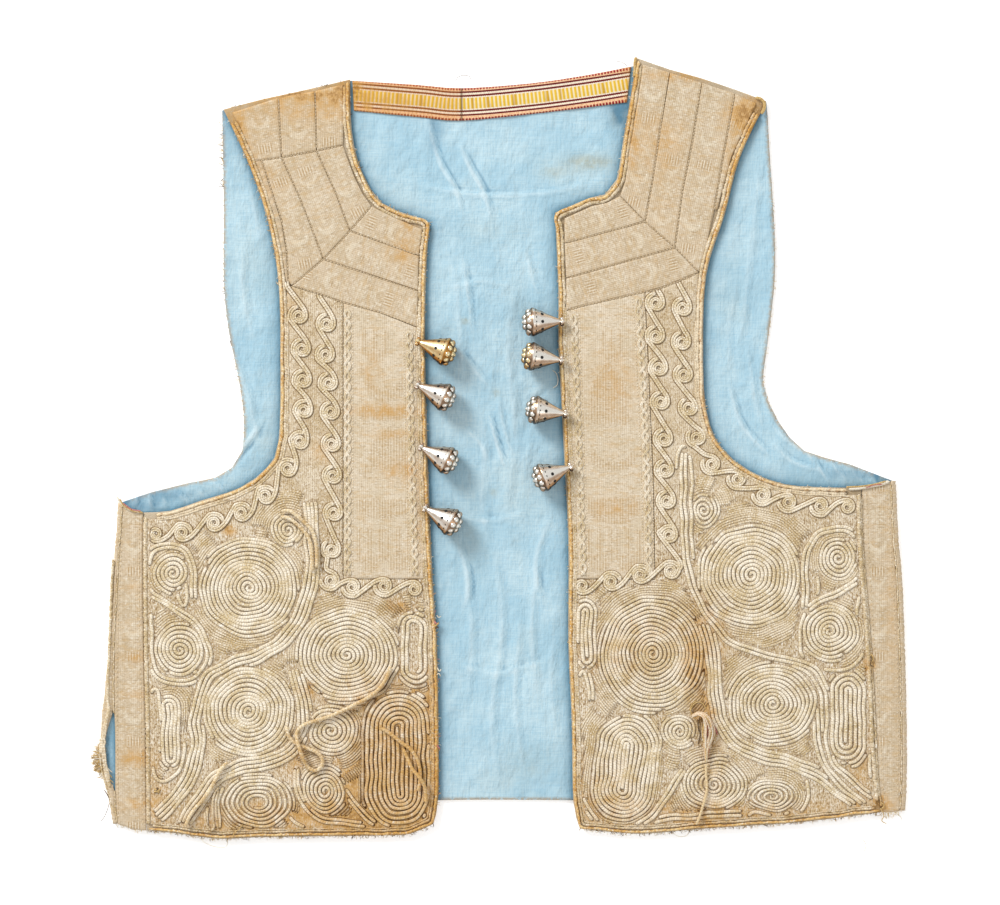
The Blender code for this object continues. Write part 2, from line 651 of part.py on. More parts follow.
def make_front(side, cuts):
    loop, spans = front_outline(cuts)
    cloth_wall(f"front_{side}", loop, FRONT_BASE, FRONT_TOP, BASE_CLOTH)
    cord_line = moved_in(loop, EDGE_CORD_INSET)
    neck = span_of(cord_line, spans, "neck")
    centre = span_of(cord_line, spans, "centre")
    hem = span_of(cord_line, spans, "hem")
    front_line = [*neck, *centre[1:], *hem[1:]] if side == "right" else [*hem, *centre[1:], *neck[1:]]
    make_edge_cord(f"front_cord_{side}", front_line)
    make_edge_cord(f"armhole_cord_{side}", span_of(cord_line, spans, "armhole")[1:-1])
    return moved_in(loop, EDGE_MARGIN), spans


def make_edge_cord(name, line):
    height = FRONT_TOP + GAP + EDGE_CORD / 2
    route = smooth([(point.x, point.y, height) for point in line], EDGE_CORD_STEP)
    make_cord(name, EDGE_CORD, route, OCHRE_CORD, 1)


def make_cord(name, diameter, route, finish, resolution=2):
    """A round cord along its route, as a curve with a bevel and filled ends."""
    curve = bpy.data.curves.new(name, "CURVE")
    curve.dimensions = "3D"
    curve.bevel_depth = diameter / 2 * MM
    curve.bevel_resolution = resolution
    curve.use_fill_caps = True
    spline = curve.splines.new("POLY")
    spline.points.add(len(route) - 1)
    for point, place in zip(spline.points, route):
        point.co = (*(place * MM), 1.0)
    return add_object(name, curve, finish)


def field_spans(inner, spans, top, outward):
    """The parts of a front's inner line that its corded field follows."""
    side = [point + Vector((outward * EDGE_MARGIN / 2, 0)) for point in span_of(inner, spans, "side")]
    armhole = lower_than(span_of(inner, spans, "armhole"), top)
    centre = lower_than(span_of(inner, spans, "centre"), PLASTRON_FOOT - FIELD_MARGIN)
    return side, armhole, centre, span_of(inner, spans, "hem")[1:-1]


def field_loop_left(inner, spans):
    """The cut of the left corded field: down the armhole and side, along the hem, up the front."""
    side, armhole, centre, hem = field_spans(inner, spans, LEFT_FIELD_TOP, -1)
    chest = map(Vector, LEFT_FIELD_CHEST)
    plastron = map(Vector, LEFT_FIELD_PLASTRON)
    return without_repeats([*chest, *armhole[:-1], *side, *hem, *centre, *plastron])


def field_loop_right(inner, spans):
    """The cut of the right corded field: down the front, along the hem, up the side and armhole."""
    side, armhole, centre, hem = field_spans(inner, spans, RIGHT_FIELD_TOP, 1)
    chest = map(Vector, RIGHT_FIELD_CHEST)
    plastron = map(Vector, RIGHT_FIELD_PLASTRON)
    return without_repeats([*chest, *plastron, *centre, *hem, *side, *armhole[1:]])


def make_field(side, loop, spirals, racetracks, scrolls, runs):
    loop = moved_in(loop, GAP / 2)
    ridges = kept_inside(field_ridges(spirals, racetracks, scrolls, runs), loop)
    cloth_wall(f"cordwork_{side}", loop, TRIM_BASE, GROUND_TOP, CORDED_CLOTH, ridges)


def make_ribbons(pieces):
    for piece in pieces:
        loop = moved_in([Vector(point) for point in piece.outline], GAP / 2)
        cloth_wall(piece.name, loop, TRIM_BASE, RIBBON_TOP, METAL_RIBBON)


def make_plastron(piece, braids):
    loop = moved_in([Vector(point) for point in piece.outline], GAP / 2)
    ridges = []
    for braid in braids:
        line = smooth(braid, BRAID_STEP)
        ridges.extend(crest(line, BRAID_WIDTH, RIBBON_TOP, RIBBON_TOP + BRAID_RISE))
    cloth_wall(piece.name, loop, TRIM_BASE, RIBBON_TOP, METAL_RIBBON, kept_inside(ridges, loop))


def fold_profile(row):
    """The section of a side fold: in at its free edge, round the fold, back along the lip."""
    inward = 1 if row.fold < 0 else -1
    width = (row.edge - row.fold) * inward
    profile = [(width, FRONT_TOP)]
    for index in range(FOLD_ARC_STEPS + 1):
        angle = math.pi * (0.5 + index / FOLD_ARC_STEPS)
        profile.append((FOLD_RADIUS + FOLD_RADIUS * math.cos(angle),
                        FOLD_RADIUS + FOLD_RADIUS * math.sin(angle)))
    profile.append((FOLD_LIP, 0.0))
    profile.append((FOLD_LIP, FOLD_WALL))
    inner = FOLD_RADIUS - FOLD_WALL
    for index in range(FOLD_ARC_STEPS + 1):
        angle = math.pi * (1.5 - index / FOLD_ARC_STEPS)
        profile.append((FOLD_RADIUS + inner * math.cos(angle), FOLD_RADIUS + inner * math.sin(angle)))
    profile.append((width, FRONT_BASE))
    return [(row.fold + inward * across, row.y, height) for across, height in profile]


def make_side_edge(name, rows):
    """The fold strip: its sections joined along the side, with both ends closed."""
    sections = [fold_profile(row) for row in rows]
    size = len(sections[0])
    points = [point for section in sections for point in section]
    faces = []
    for row in range(len(sections) - 1):
        for index in range(size):
            after = (index + 1) % size
            first = row * size
            faces.append((first + index, first + after, first + size + after, first + size + index))
    faces.append(tuple(range(size)))
    faces.append(tuple((len(sections) - 1) * size + index for index in range(size)))
    made = object_from_faces(name, points, faces, METAL_RIBBON)
    triangulate(made)


def triangulate(made):
    sheet = bmesh.new()
    sheet.from_mesh(made.data)
    bmesh.ops.triangulate(sheet, faces=sheet.faces)
    sheet.to_mesh(made.data)
    sheet.free()


def make_side_band(side, front_side, rows, top, hem):
    """The side panel between the front's side seam and the fold strip."""
    seam = [Vector((row.seam, row.y)) for row in rows]
    if side == "left":
        inner = [Vector((point.x - GAP, point.y)) for point in reversed(front_side)]
        loop = [*map(Vector, top[1:]), *seam, *map(Vector, hem), *inner]
    else:
        inner = [Vector((point.x + GAP, point.y)) for point in reversed(front_side)]
        loop = [*inner, *map(Vector, hem), *reversed(seam), *map(Vector, top)]
    cloth_wall(f"side_band_{side}", loop, FRONT_BASE, FRONT_TOP, METAL_RIBBON)


def back_loop(margin):
    """The cut of the back, its sides standing in from the folds by the margin."""
    left = [Vector((row.fold + margin, row.y)) for row in LEFT_FOLD]
    right = [Vector((row.fold - margin, row.y)) for row in reversed(RIGHT_FOLD)]
    right_shoulder = smooth(RIGHT_FRONT_CUTS[0].line)
    left_shoulder = smooth(LEFT_FRONT_CUTS[0].line)
    return without_repeats([
        *right_shoulder[:-1], *smooth(NECK_RIBBON_TOP), *left_shoulder[1:-1],
        *smooth(BACK_LEFT_ARMHOLE), *left, *smooth(BACK_HEM)[1:-1], *right,
        *smooth(BACK_RIGHT_ARMHOLE)[:-1]])


def make_back():
    cloth_wall("back", back_loop(FOLD_LIP + GAP), 0.0, BACK_CLOTH, METAL_RIBBON)
    ridges = []
    for crease in LINING_CREASES:
        line = smooth(crease.line, CREASE_STEP)
        ridges.extend(crest(line, crease.width, LINING_TOP, LINING_TOP + crease.rise))
    cloth_wall("back_lining", back_loop(FOLD_WALL + 2 * GAP), LINING_BASE, LINING_TOP, BLUE_LINING, ridges)


def make_neck_ribbon():
    loop = [*smooth(NECK_RIBBON_TOP), *smooth(NECK_RIBBON_FOOT)]
    cloth_wall("neck_ribbon", moved_in(loop, GAP), FRONT_BASE, FRONT_BASE + RIBBON_CLOTH, STRIPED_RIBBON)


def button_mesh():
    """The cone button as a turned form along +Z, its tip at the origin."""
    sheet = bmesh.new()
    tip = sheet.verts.new((0, 0, 0))
    crown = sheet.verts.new((0, 0, BUTTON_LENGTH * MM))
    rings = []
    for row in BUTTON_PROFILE:
        circle = []
        for index in range(BUTTON_SIDES):
            angle = 2 * math.pi * index / BUTTON_SIDES
            circle.append(sheet.verts.new(
                Vector((row.radius * math.cos(angle), row.radius * math.sin(angle), row.along)) * MM))
        rings.append(circle)
    for index in range(BUTTON_SIDES):
        after = (index + 1) % BUTTON_SIDES
        sheet.faces.new((tip, rings[0][index], rings[0][after]))
        sheet.faces.new((crown, rings[-1][index], rings[-1][after]))
        for lower, upper in zip(rings, rings[1:]):
            sheet.faces.new((lower[index], lower[after], upper[after], upper[index]))
    bmesh.ops.recalc_face_normals(sheet, faces=sheet.faces)
    mesh = bpy.data.meshes.new("button")
    sheet.to_mesh(mesh)
    sheet.free()
    mesh.materials.append(finish_material(SILVER))
    mesh.shade_smooth()
    mesh.set_sharp_from_angle(angle=math.radians(40))
    return mesh


def make_buttons():
    """Eight buttons hang by their tips from the front edges, their rims resting on the lining."""
    mesh = button_mesh()
    for row in BUTTONS:
        tip = Vector((row.tip_x, row.tip_y, BUTTON_TIP_HEIGHT))
        across = Vector((row.base_x - row.tip_x, row.base_y - row.tip_y, 0.0)).normalized()
        rim_bottom = LINING_TOP + GAP
        rise = 0.0
        for _ in range(SETTLING_STEPS):
            rim_centre = rim_bottom + BUTTON_RADIUS * math.cos(rise)
            rise = math.asin((rim_centre - BUTTON_TIP_HEIGHT) / BUTTON_RIM)
        along = across * math.cos(rise) + Vector((0, 0, math.sin(rise)))
        made = bpy.data.objects.new(row.name, mesh)
        made.location = tip * MM
        made.rotation_mode = "QUATERNION"
        made.rotation_quaternion = along.to_track_quat("Z", "Y")
        bpy.context.collection.objects.link(made)


def main():
    clear_scene()
    make_back()
    make_neck_ribbon()
    left_inner, left_spans = make_front("left", LEFT_FRONT_CUTS)
    right_inner, right_spans = make_front("right", RIGHT_FRONT_CUTS)
    left_field = field_loop_left(left_inner, left_spans)
    right_field = field_loop_right(right_inner, right_spans)
    make_field("left", left_field, LEFT_SPIRALS, LEFT_RACETRACKS, LEFT_SCROLLS, LEFT_RUNS)
    make_field("right", right_field, RIGHT_SPIRALS, RIGHT_RACETRACKS, RIGHT_SCROLLS, RIGHT_RUNS)
    make_ribbons(LEFT_RIBBONS)
    make_ribbons(RIGHT_RIBBONS)
    make_plastron(LEFT_PLASTRON, LEFT_BRAIDS)
    make_plastron(RIGHT_PLASTRON, RIGHT_BRAIDS)
    left_side = smooth(LEFT_FRONT_CUTS[2].line)
    right_side = smooth(RIGHT_FRONT_CUTS[4].line)
    make_side_band("left", left_side, LEFT_FOLD, LEFT_BAND_TOP, LEFT_BAND_HEM)
    make_side_band("right", right_side, RIGHT_FOLD, RIGHT_BAND_TOP, RIGHT_BAND_HEM)
    make_side_edge("side_edge_left", LEFT_FOLD)
    make_side_edge("side_edge_right", RIGHT_FOLD)
    make_buttons()
    for row in LOOSE_CORDS:
        make_cord(row.name, row.diameter, smooth(row.route, LOOSE_STEP * row.diameter), CREAM_CORD)


main()
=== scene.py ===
"""The looks of an embroidered waistcoat that lies flat with both fronts laid open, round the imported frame.

Lines and sizes in the tables are in millimetres from the middle of the garment, with +X to the right,
+Y to the neck and +Z up from the table. MM turns them into metres. Left and right are as seen from above.
"""

import math
from collections import namedtuple
from functools import reduce

import bpy
import numpy as np
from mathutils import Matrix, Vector
from mathutils.geometry import delaunay_2d_cdt
from mathutils.kdtree import KDTree


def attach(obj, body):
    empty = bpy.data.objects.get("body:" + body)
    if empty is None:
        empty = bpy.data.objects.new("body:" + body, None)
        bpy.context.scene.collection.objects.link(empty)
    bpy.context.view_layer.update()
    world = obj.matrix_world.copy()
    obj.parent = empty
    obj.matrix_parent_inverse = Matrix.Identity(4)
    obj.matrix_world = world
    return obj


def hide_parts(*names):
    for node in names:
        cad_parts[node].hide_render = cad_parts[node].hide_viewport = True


MM = 0.001

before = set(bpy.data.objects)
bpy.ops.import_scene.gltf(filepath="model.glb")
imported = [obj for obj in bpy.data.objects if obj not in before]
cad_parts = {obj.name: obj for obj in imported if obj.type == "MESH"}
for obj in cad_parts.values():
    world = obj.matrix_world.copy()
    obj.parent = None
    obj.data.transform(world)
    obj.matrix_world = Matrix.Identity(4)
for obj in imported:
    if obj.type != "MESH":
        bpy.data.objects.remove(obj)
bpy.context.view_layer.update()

# Heights of the layers above the table, as in the solids.
GAP = 0.3
BACK_TOP = 1.2
LINING_BASE = 1.5
LINING_TOP = 2.5
FRONT_BASE = 2.8
FRONT_TOP = 4.0
NECK_TOP = 3.8
TRIM_BASE = 4.3
RIBBON_TOP = 5.3
GROUND_TOP = 5.2
CORD_BED = 8.1
CORD_OVER = 10.8

Stain = namedtuple("Stain", "x y wide high strength")
Fold = namedtuple("Fold", "line width rise")
Coil = namedtuple("Coil", "x y wide high spine lean turns start way hollow", defaults=(0,))
Run = namedtuple("Run", "strands line")
Ribbon = namedtuple("Ribbon", "name course phase")
CordRow = namedtuple("CordRow", "name diameter route lifts", defaults=(0,))
ButtonRow = namedtuple("ButtonRow", "name tip_x tip_y base_x base_y cone dome")
FoldRow = namedtuple("FoldRow", "y seam edge fold")
Shape = namedtuple("Shape", "kind x y wide high")
SeamCord = namedtuple("SeamCord", "line thickness height")
Thread = namedtuple("Thread", "kind radius line")
Fray = namedtuple("Fray", "node start end height count length kinds")
Stud = namedtuple("Stud", "along down radius count shift sides")
Bead = namedtuple("Bead", "along reach radius count shift slot rings sides")
Part = namedtuple("Part", "points faces corners slot")


def rows_of(kind, rows):
    """A table's rows with the names of their columns."""
    return tuple(kind(*row) for row in rows)


# ---------------------------------------------------------------- camera

# The picture is as wide as the garment and 57 mm of floor to each side, seen from straight above.
LENS = 120.0
SENSOR = 36.0
VIEW_WIDTH = 600.0
VIEW_MIDDLE = (-3.0, -3.0)
VIEW_LEVEL = 5.0
FARTHEST = 50.0


def make_camera():
    data = bpy.data.cameras.new("camera")
    data.lens = LENS
    data.sensor_width = SENSOR
    data.dof.use_dof = False
    data.clip_end = FARTHEST
    camera = bpy.data.objects.new("camera", data)
    height = VIEW_LEVEL + VIEW_WIDTH * LENS / SENSOR
    camera.location = Vector((*VIEW_MIDDLE, height)) * MM
    bpy.context.scene.collection.objects.link(camera)
    bpy.context.scene.camera = camera


# ---------------------------------------------------------------- lines

CURVE_SAMPLES = 24
SAME_POINT = 1e-6


def line_length(line):
    return float(np.linalg.norm(np.diff(line, axis=0), axis=1).sum())


def distances(line):
    """How far along a line each of its points is."""
    return np.concatenate([[0.0], np.cumsum(np.linalg.norm(np.diff(line, axis=0), axis=1))])


def unit(vectors, least=1e-9):
    """Vectors brought to a length of 1."""
    return vectors / np.maximum(np.linalg.norm(vectors, axis=-1, keepdims=True), least)


def circle(sides, shift=0.0):
    """Points evenly round a circle with a radius of 1, the first one a share of their spacing on from +X."""
    angles = 2 * math.pi * (np.arange(sides) + shift) / sides
    return np.stack([np.cos(angles), np.sin(angles)], axis=1)


def resampled(line, step):
    """Points spaced evenly along a line, about a step apart, its two ends kept."""
    line = np.asarray(line, float)
    pace = np.linalg.norm(np.diff(line, axis=0), axis=1)
    line = line[np.concatenate([[True], pace > SAME_POINT])]
    along = distances(line)
    marks = np.linspace(0.0, along[-1], max(2, round(along[-1] / step) + 1))
    return np.stack([np.interp(marks, along, column) for column in line.T], axis=1)


def smooth(points, step):
    """A Catmull-Rom curve through the points, sampled about every step."""
    points = np.asarray(points, float)
    if len(points) < 3:
        return resampled(points, step)
    padded = np.concatenate([[2 * points[0] - points[1]], points, [2 * points[-1] - points[-2]]])
    before, start, end, after = padded[:-3], padded[1:-2], padded[2:-1], padded[3:]
    t = np.linspace(0, 1, CURVE_SAMPLES, endpoint=False)[None, :, None]
    before, start, end, after = (value[:, None, :] for value in (before, start, end, after))
    curve = 0.5 * (2 * start + (end - before) * t + (2 * before - 5 * start + 4 * end - after) * t ** 2
                   + (3 * start - before - 3 * end + after) * t ** 3)
    return resampled(np.concatenate([curve.reshape(-1, points.shape[1]), points[-1:]]), step)


def normals(line):
    """The unit vector to the left of a flat line at each of its points."""
    along = unit(np.gradient(line[:, :2], axis=0))
    return np.stack([-along[:, 1], along[:, 0]], axis=1)


def beside(line, distance):
    """A flat line moved to its left."""
    return line + normals(line) * distance


def at_height(line, height):
    line = np.asarray(line, float)
    return np.column_stack([line[:, :2], np.broadcast_to(height, len(line))])


WAVES = 7


class Drift:
    """A smooth wavering value over the cloth, between about -1 and 1, the same on each run."""

    def __init__(self, seed, wavelength):
        chance = np.random.default_rng(seed)
        turns = chance.uniform(0, 2 * math.pi, WAVES)
        sizes = 2 * math.pi / (wavelength * chance.uniform(0.7, 1.5, WAVES))
        self.waves = np.stack([np.cos(turns), np.sin(turns)]) * sizes
        self.phases = chance.uniform(0, 2 * math.pi, WAVES)

    def at(self, points):
        return np.sin(points[:, :2] @ self.waves + self.phases).sum(axis=1) / math.sqrt(WAVES)


# ---------------------------------------------------------------- meshes

# The share of its thickness that a strand keeps at its very ends.
BLUNT = 0.12
PLY_DEPTH = 0.2


def tube_faces(count, sides):
    """The quads round a tube of so many rings of points, and its two end faces."""
    rows = np.arange(count - 1)[:, None] * sides
    here = np.arange(sides)
    after = (here + 1) % sides
    quads = np.stack([rows + here, rows + after, rows + sides + after, rows + sides + here], axis=-1)
    return quads.reshape(-1, 4), np.stack([here[::-1], here + (count - 1) * sides])


def placed_part(points, faces, places, slot=0):
    """A part whose faces' corners take the places of their points."""
    return Part(points, faces, [places[group] for group in faces], slot)


def mesh_piece(name, parts, materials, node=None, marks=None):
    """One piece from its parts, in place of a CAD node if one is named.

    marks are named values, one for each point of all the parts in turn.
    """
    mesh = bpy.data.meshes.new(name)
    points = np.concatenate([part.points for part in parts])
    mesh.vertices.add(len(points))
    mesh.vertices.foreach_set("co", (points * MM).astype(np.float32).ravel())
    first = 0
    loops, sizes, corners, slots = [], [], [], []
    for part in parts:
        for faces, places in zip(part.faces, part.corners):
            loops.append((faces + first).ravel())
            sizes.append(np.full(len(faces), faces.shape[1]))
            corners.append(places.reshape(-1, 2))
            slots.append(np.full(len(faces), part.slot))
        first += len(part.points)
    loops, sizes, corners, slots = (np.concatenate(found) for found in (loops, sizes, corners, slots))
    mesh.loops.add(len(loops))
    mesh.loops.foreach_set("vertex_index", loops.astype(np.int32))
    mesh.polygons.add(len(sizes))
    mesh.polygons.foreach_set("loop_start", (np.cumsum(sizes) - sizes).astype(np.int32))
    mesh.polygons.foreach_set("material_index", slots.astype(np.int32))
    mesh.update(calc_edges=True)
    places = mesh.uv_layers.new(name="cloth")
    places.data.foreach_set("uv", (corners * MM).astype(np.float32).ravel())
    for label, value in {"stain": stain_at(points), **(marks or {})}.items():
        layer = mesh.attributes.new(label, "FLOAT", "POINT")
        layer.data.foreach_set("value", np.asarray(value, np.float32))
    mesh.validate()
    mesh.shade_smooth()
    for material in materials:
        mesh.materials.append(material)
    made = bpy.data.objects.new(name, mesh)
    bpy.context.scene.collection.objects.link(made)
    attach(made, "root")
    if node:
        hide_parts(node)
    return made


def swept(line, section, slot=0, taper=None):
    """A closed strand along a line, drawn in over a taper's length at both ends.

    section holds (to the left, up) pairs, anticlockwise, one set for all the points or one for each.
    """
    line = np.asarray(line, float)
    if taper is not None:
        section = tapered(section, line, taper)
    section = np.broadcast_to(section, (len(line), *np.shape(section)[-2:]))
    sides = section.shape[1]
    along = unit(np.gradient(line, axis=0))
    left = unit(np.cross((0.0, 0.0, 1.0), along))
    rise = np.cross(along, left)
    points = (line[:, None] + section[..., :1] * left[:, None] + section[..., 1:] * rise[:, None])
    girth = np.linalg.norm(np.diff(section[0], axis=0), axis=1).sum()
    marks = distances(line)
    here = np.arange(sides)
    across = np.stack([here, here + 1, here + 1, here], axis=-1) / sides * girth
    lengths = np.stack([marks[:-1], marks[:-1], marks[1:], marks[1:]], axis=-1)[:, None]
    corners = np.stack(np.broadcast_arrays(across, lengths), axis=-1)
    faces = tube_faces(len(line), sides)
    return Part(points.reshape(-1, 3), faces, [corners.reshape(-1, 4, 2), np.zeros((2, sides, 2))], slot)


def round_section(radius, sides):
    return radius * circle(sides)


def plied_section(line, radius, sides, pitch, depth):
    """The section of a cord twisted from two plies, at each point of its line."""
    angles = 2 * math.pi * np.arange(sides) / sides
    turn = 2 * math.pi * distances(line) / pitch
    lobes = np.abs(np.cos(angles[None] - turn[:, None]))
    return (radius * (1 - depth + depth * lobes))[..., None] * circle(sides)


def tapered(section, line, run):
    """A section for each point of a line, drawn in to a blunt point at both ends."""
    marks = distances(line)
    nearest = np.minimum(marks, marks[-1] - marks)
    share = np.sqrt(np.clip(BLUNT + nearest / run, 0, 1))
    return np.broadcast_to(section, (len(line), *np.shape(section)[-2:])) * share[:, None, None]


# ---------------------------------------------------------------- cloth

INSIDE_ONLY = 1
NEAREST = 1e-5
SAME_PLACE = 2
FACING_DOWN = -0.99
LEVEL_WITHIN = 0.05
RIM = 0.55
ROUNDED = 0.45
ROW_SHARE = 0.87
CLEAR_SHARE = 0.4
COURSE_STEP = 4.0
COURSE_REACH = 30
CREASE_STEP = 6.0
TROUGH = 0.6
TROUGH_SHIFT = 1.6


def border_of(node):
    """The anticlockwise loop round the flat underside of a CAD cloth piece."""
    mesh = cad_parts[node].data
    points = np.array([vertex.co for vertex in mesh.vertices]) / MM
    lowest = points[:, 2].min()
    sides = set()
    for face in mesh.polygons:
        if face.normal.z < FACING_DOWN and abs(face.center.z / MM - lowest) < LEVEL_WITHIN:
            keys = [tuple(np.round(points[index][:2], SAME_PLACE)) for index in face.vertices]
            sides.update(zip(keys, keys[1:] + keys[:1]))
    onward = {end: start for start, end in sides if (end, start) not in sides}
    start = next(iter(onward))
    loop = [start]
    while onward[loop[-1]] != start:
        loop.append(onward[loop[-1]])
    return np.array(loop)


def sides_of(loop):
    """The start and the end of each side of a closed loop."""
    return zip(loop, np.roll(loop, -1, axis=0))


def divided(loop, step):
    """A closed loop with its long sides divided, every corner kept."""
    points = []
    for start, end in sides_of(loop):
        count = max(1, round(np.linalg.norm(end - start) / step))
        points.extend(start + (end - start) * index / count for index in range(count))
    return np.array(points)


def off_side(points, start, side):
    """The share of a side at which it comes nearest to each point, and the way from there to the point."""
    share = np.clip((points - start) @ side / (side @ side), 0, 1)
    return share, points - start - share[:, None] * side


def border_distance(points, loop):
    """How far each point is from the nearest side of a loop."""
    nearest = np.full(len(points), np.inf)
    for start, end in sides_of(loop):
        if np.linalg.norm(end - start) > SAME_POINT:
            _, offset = off_side(points, start, end - start)
            nearest = np.minimum(nearest, np.linalg.norm(offset, axis=1))
    return nearest


def inside(points, loop):
    found = np.zeros(len(points), bool)
    for start, end in sides_of(loop):
        crossed = (start[1] > points[:, 1]) != (end[1] > points[:, 1])
        if crossed.any():
            place = start[0] + (end[0] - start[0]) * (points[:, 1] - start[1]) / (end[1] - start[1])
            found ^= crossed & (points[:, 0] < place)
    return found


def moved_in(loop, distance):
    """A closed loop moved in from its border."""
    before = unit(loop - np.roll(loop, 1, axis=0))
    after = unit(np.roll(loop, -1, axis=0) - loop)
    left = np.stack([-(before + after)[:, 1], (before + after)[:, 0]], axis=1)
    turn = 1 + (before * after).sum(axis=1, keepdims=True)
    return loop + left * distance / np.maximum(turn, 0.5)


def grid_points(loop, step, clear):
    """A grid of triangles' corners over the cloth inside a loop, clear of its border."""
    low = loop.min(axis=0)
    high = loop.max(axis=0)
    points = []
    for index, y in enumerate(np.arange(low[1], high[1], step * ROW_SHARE)):
        x = np.arange(low[0] + step / 2 * (index % 2), high[0], step)
        points.append(np.stack([x, np.full(len(x), y)], axis=1))
    points = np.concatenate(points)
    points = points[inside(points, loop)]
    return points[border_distance(points, loop) > clear]


def triangles(loop, rings, extra):
    """Points, triangles and where each border point went, for the cloth inside a loop."""
    points, edges = [], []
    for ring in (loop, *rings):
        first = len(points)
        points.extend(Vector(point) for point in ring)
        edges.extend((first + index, first + (index + 1) % len(ring)) for index in range(len(ring)))
    points.extend(Vector(point) for point in extra)
    found, _, faces, sources, _, _ = delaunay_2d_cdt(points, edges, [], INSIDE_ONLY, NEAREST)
    places = {first: index for index, source in enumerate(sources) for first in source}
    return (np.array([point[:] for point in found]), np.array(faces),
            np.array([places[index] for index in range(len(loop))]))


def beside_line(points, line):
    """How far each point is to the left of a line, and how many stretches of it come before that place."""
    nearest = np.full(len(points), np.inf)
    across = np.zeros(len(points))
    passed = np.zeros(len(points))
    for index, (start, end) in enumerate(zip(line, line[1:])):
        side = end - start
        share, offset = off_side(points, start, side)
        distance = np.linalg.norm(offset, axis=1)
        left = np.sign(side[0] * offset[:, 1] - side[1] * offset[:, 0])
        better = distance < nearest
        nearest[better] = distance[better]
        across[better] = (distance * left)[better]
        passed[better] = (index + share)[better]
    return across, passed


class Course:
    """The way a ribbon runs. It places points across and along it, straight on beyond both ends."""

    def __init__(self, line):
        line = smooth(line, COURSE_STEP)
        first = line[0] - (line[1] - line[0]) * COURSE_REACH
        last = line[-1] + (line[-1] - line[-2]) * COURSE_REACH
        self.line = np.concatenate([[first], line, [last]])

    def places(self, points):
        across, passed = beside_line(points, self.line)
        marks = distances(self.line)
        return np.stack([across, np.interp(passed, np.arange(len(marks)), marks) - marks[1]], axis=1)


class Upright:
    """The plain way of a cloth whose threads run across and up."""

    def places(self, points):
        return points


def folds_at(points, folds):
    """The height that soft folds add at each point: a ridge with a trough to its left."""
    height = np.zeros(len(points))
    for fold in folds:
        line = smooth(fold.line, CREASE_STEP)
        across, passed = beside_line(points, line)
        share = passed / (len(line) - 1)
        fade = np.clip(4 * share * (1 - share), 0, 1) ** 0.5
        ridge = np.exp(-(across / fold.width) ** 2)
        trough = np.exp(-((across - TROUGH_SHIFT * fold.width) / fold.width) ** 2)
        height += fold.rise * fade * (ridge - TROUGH * trough)
    return height


def cloth_part(loop, base, top, step, course, relief=None, extra=None):
    """A closed thin cloth with a rounded rim. relief gives the height that its upper face adds at points."""
    border = divided(loop, step)
    if extra is None:
        extra = grid_points(loop, step, RIM + CLEAR_SHARE * step)
    upper, upper_faces, above = triangles(border, [moved_in(border, RIM)], extra)
    lower, lower_faces, below = triangles(border, [], [])
    edge = np.clip(1 - border_distance(upper, loop) / RIM, 0, 1)
    heights = top - (top - base) * ROUNDED * (1 - np.sqrt(1 - edge ** 2))
    if relief is not None:
        heights = heights + relief(upper) * (1 - edge)
    points = np.concatenate([at_height(upper, heights), at_height(lower, base)])
    below = below + len(upper)
    walls = np.stack([below, np.roll(below, -1), np.roll(above, -1), above], axis=1)
    faces = [upper_faces, lower_faces[:, ::-1] + len(upper), walls]
    return placed_part(points, faces, course.places(points[:, :2]))


def laid_cloth(name, node, part, course, material, marks=None):
    """A sheet of cloth in place of its CAD node."""
    piece = mesh_piece(name, [part], [material], node, marks)
    declare_sheet(border_of(node), course)


def declare_sheet(loop, course):
    """Places the border points of a cut across and along its threads; nothing is kept."""
    places = course.places(loop)
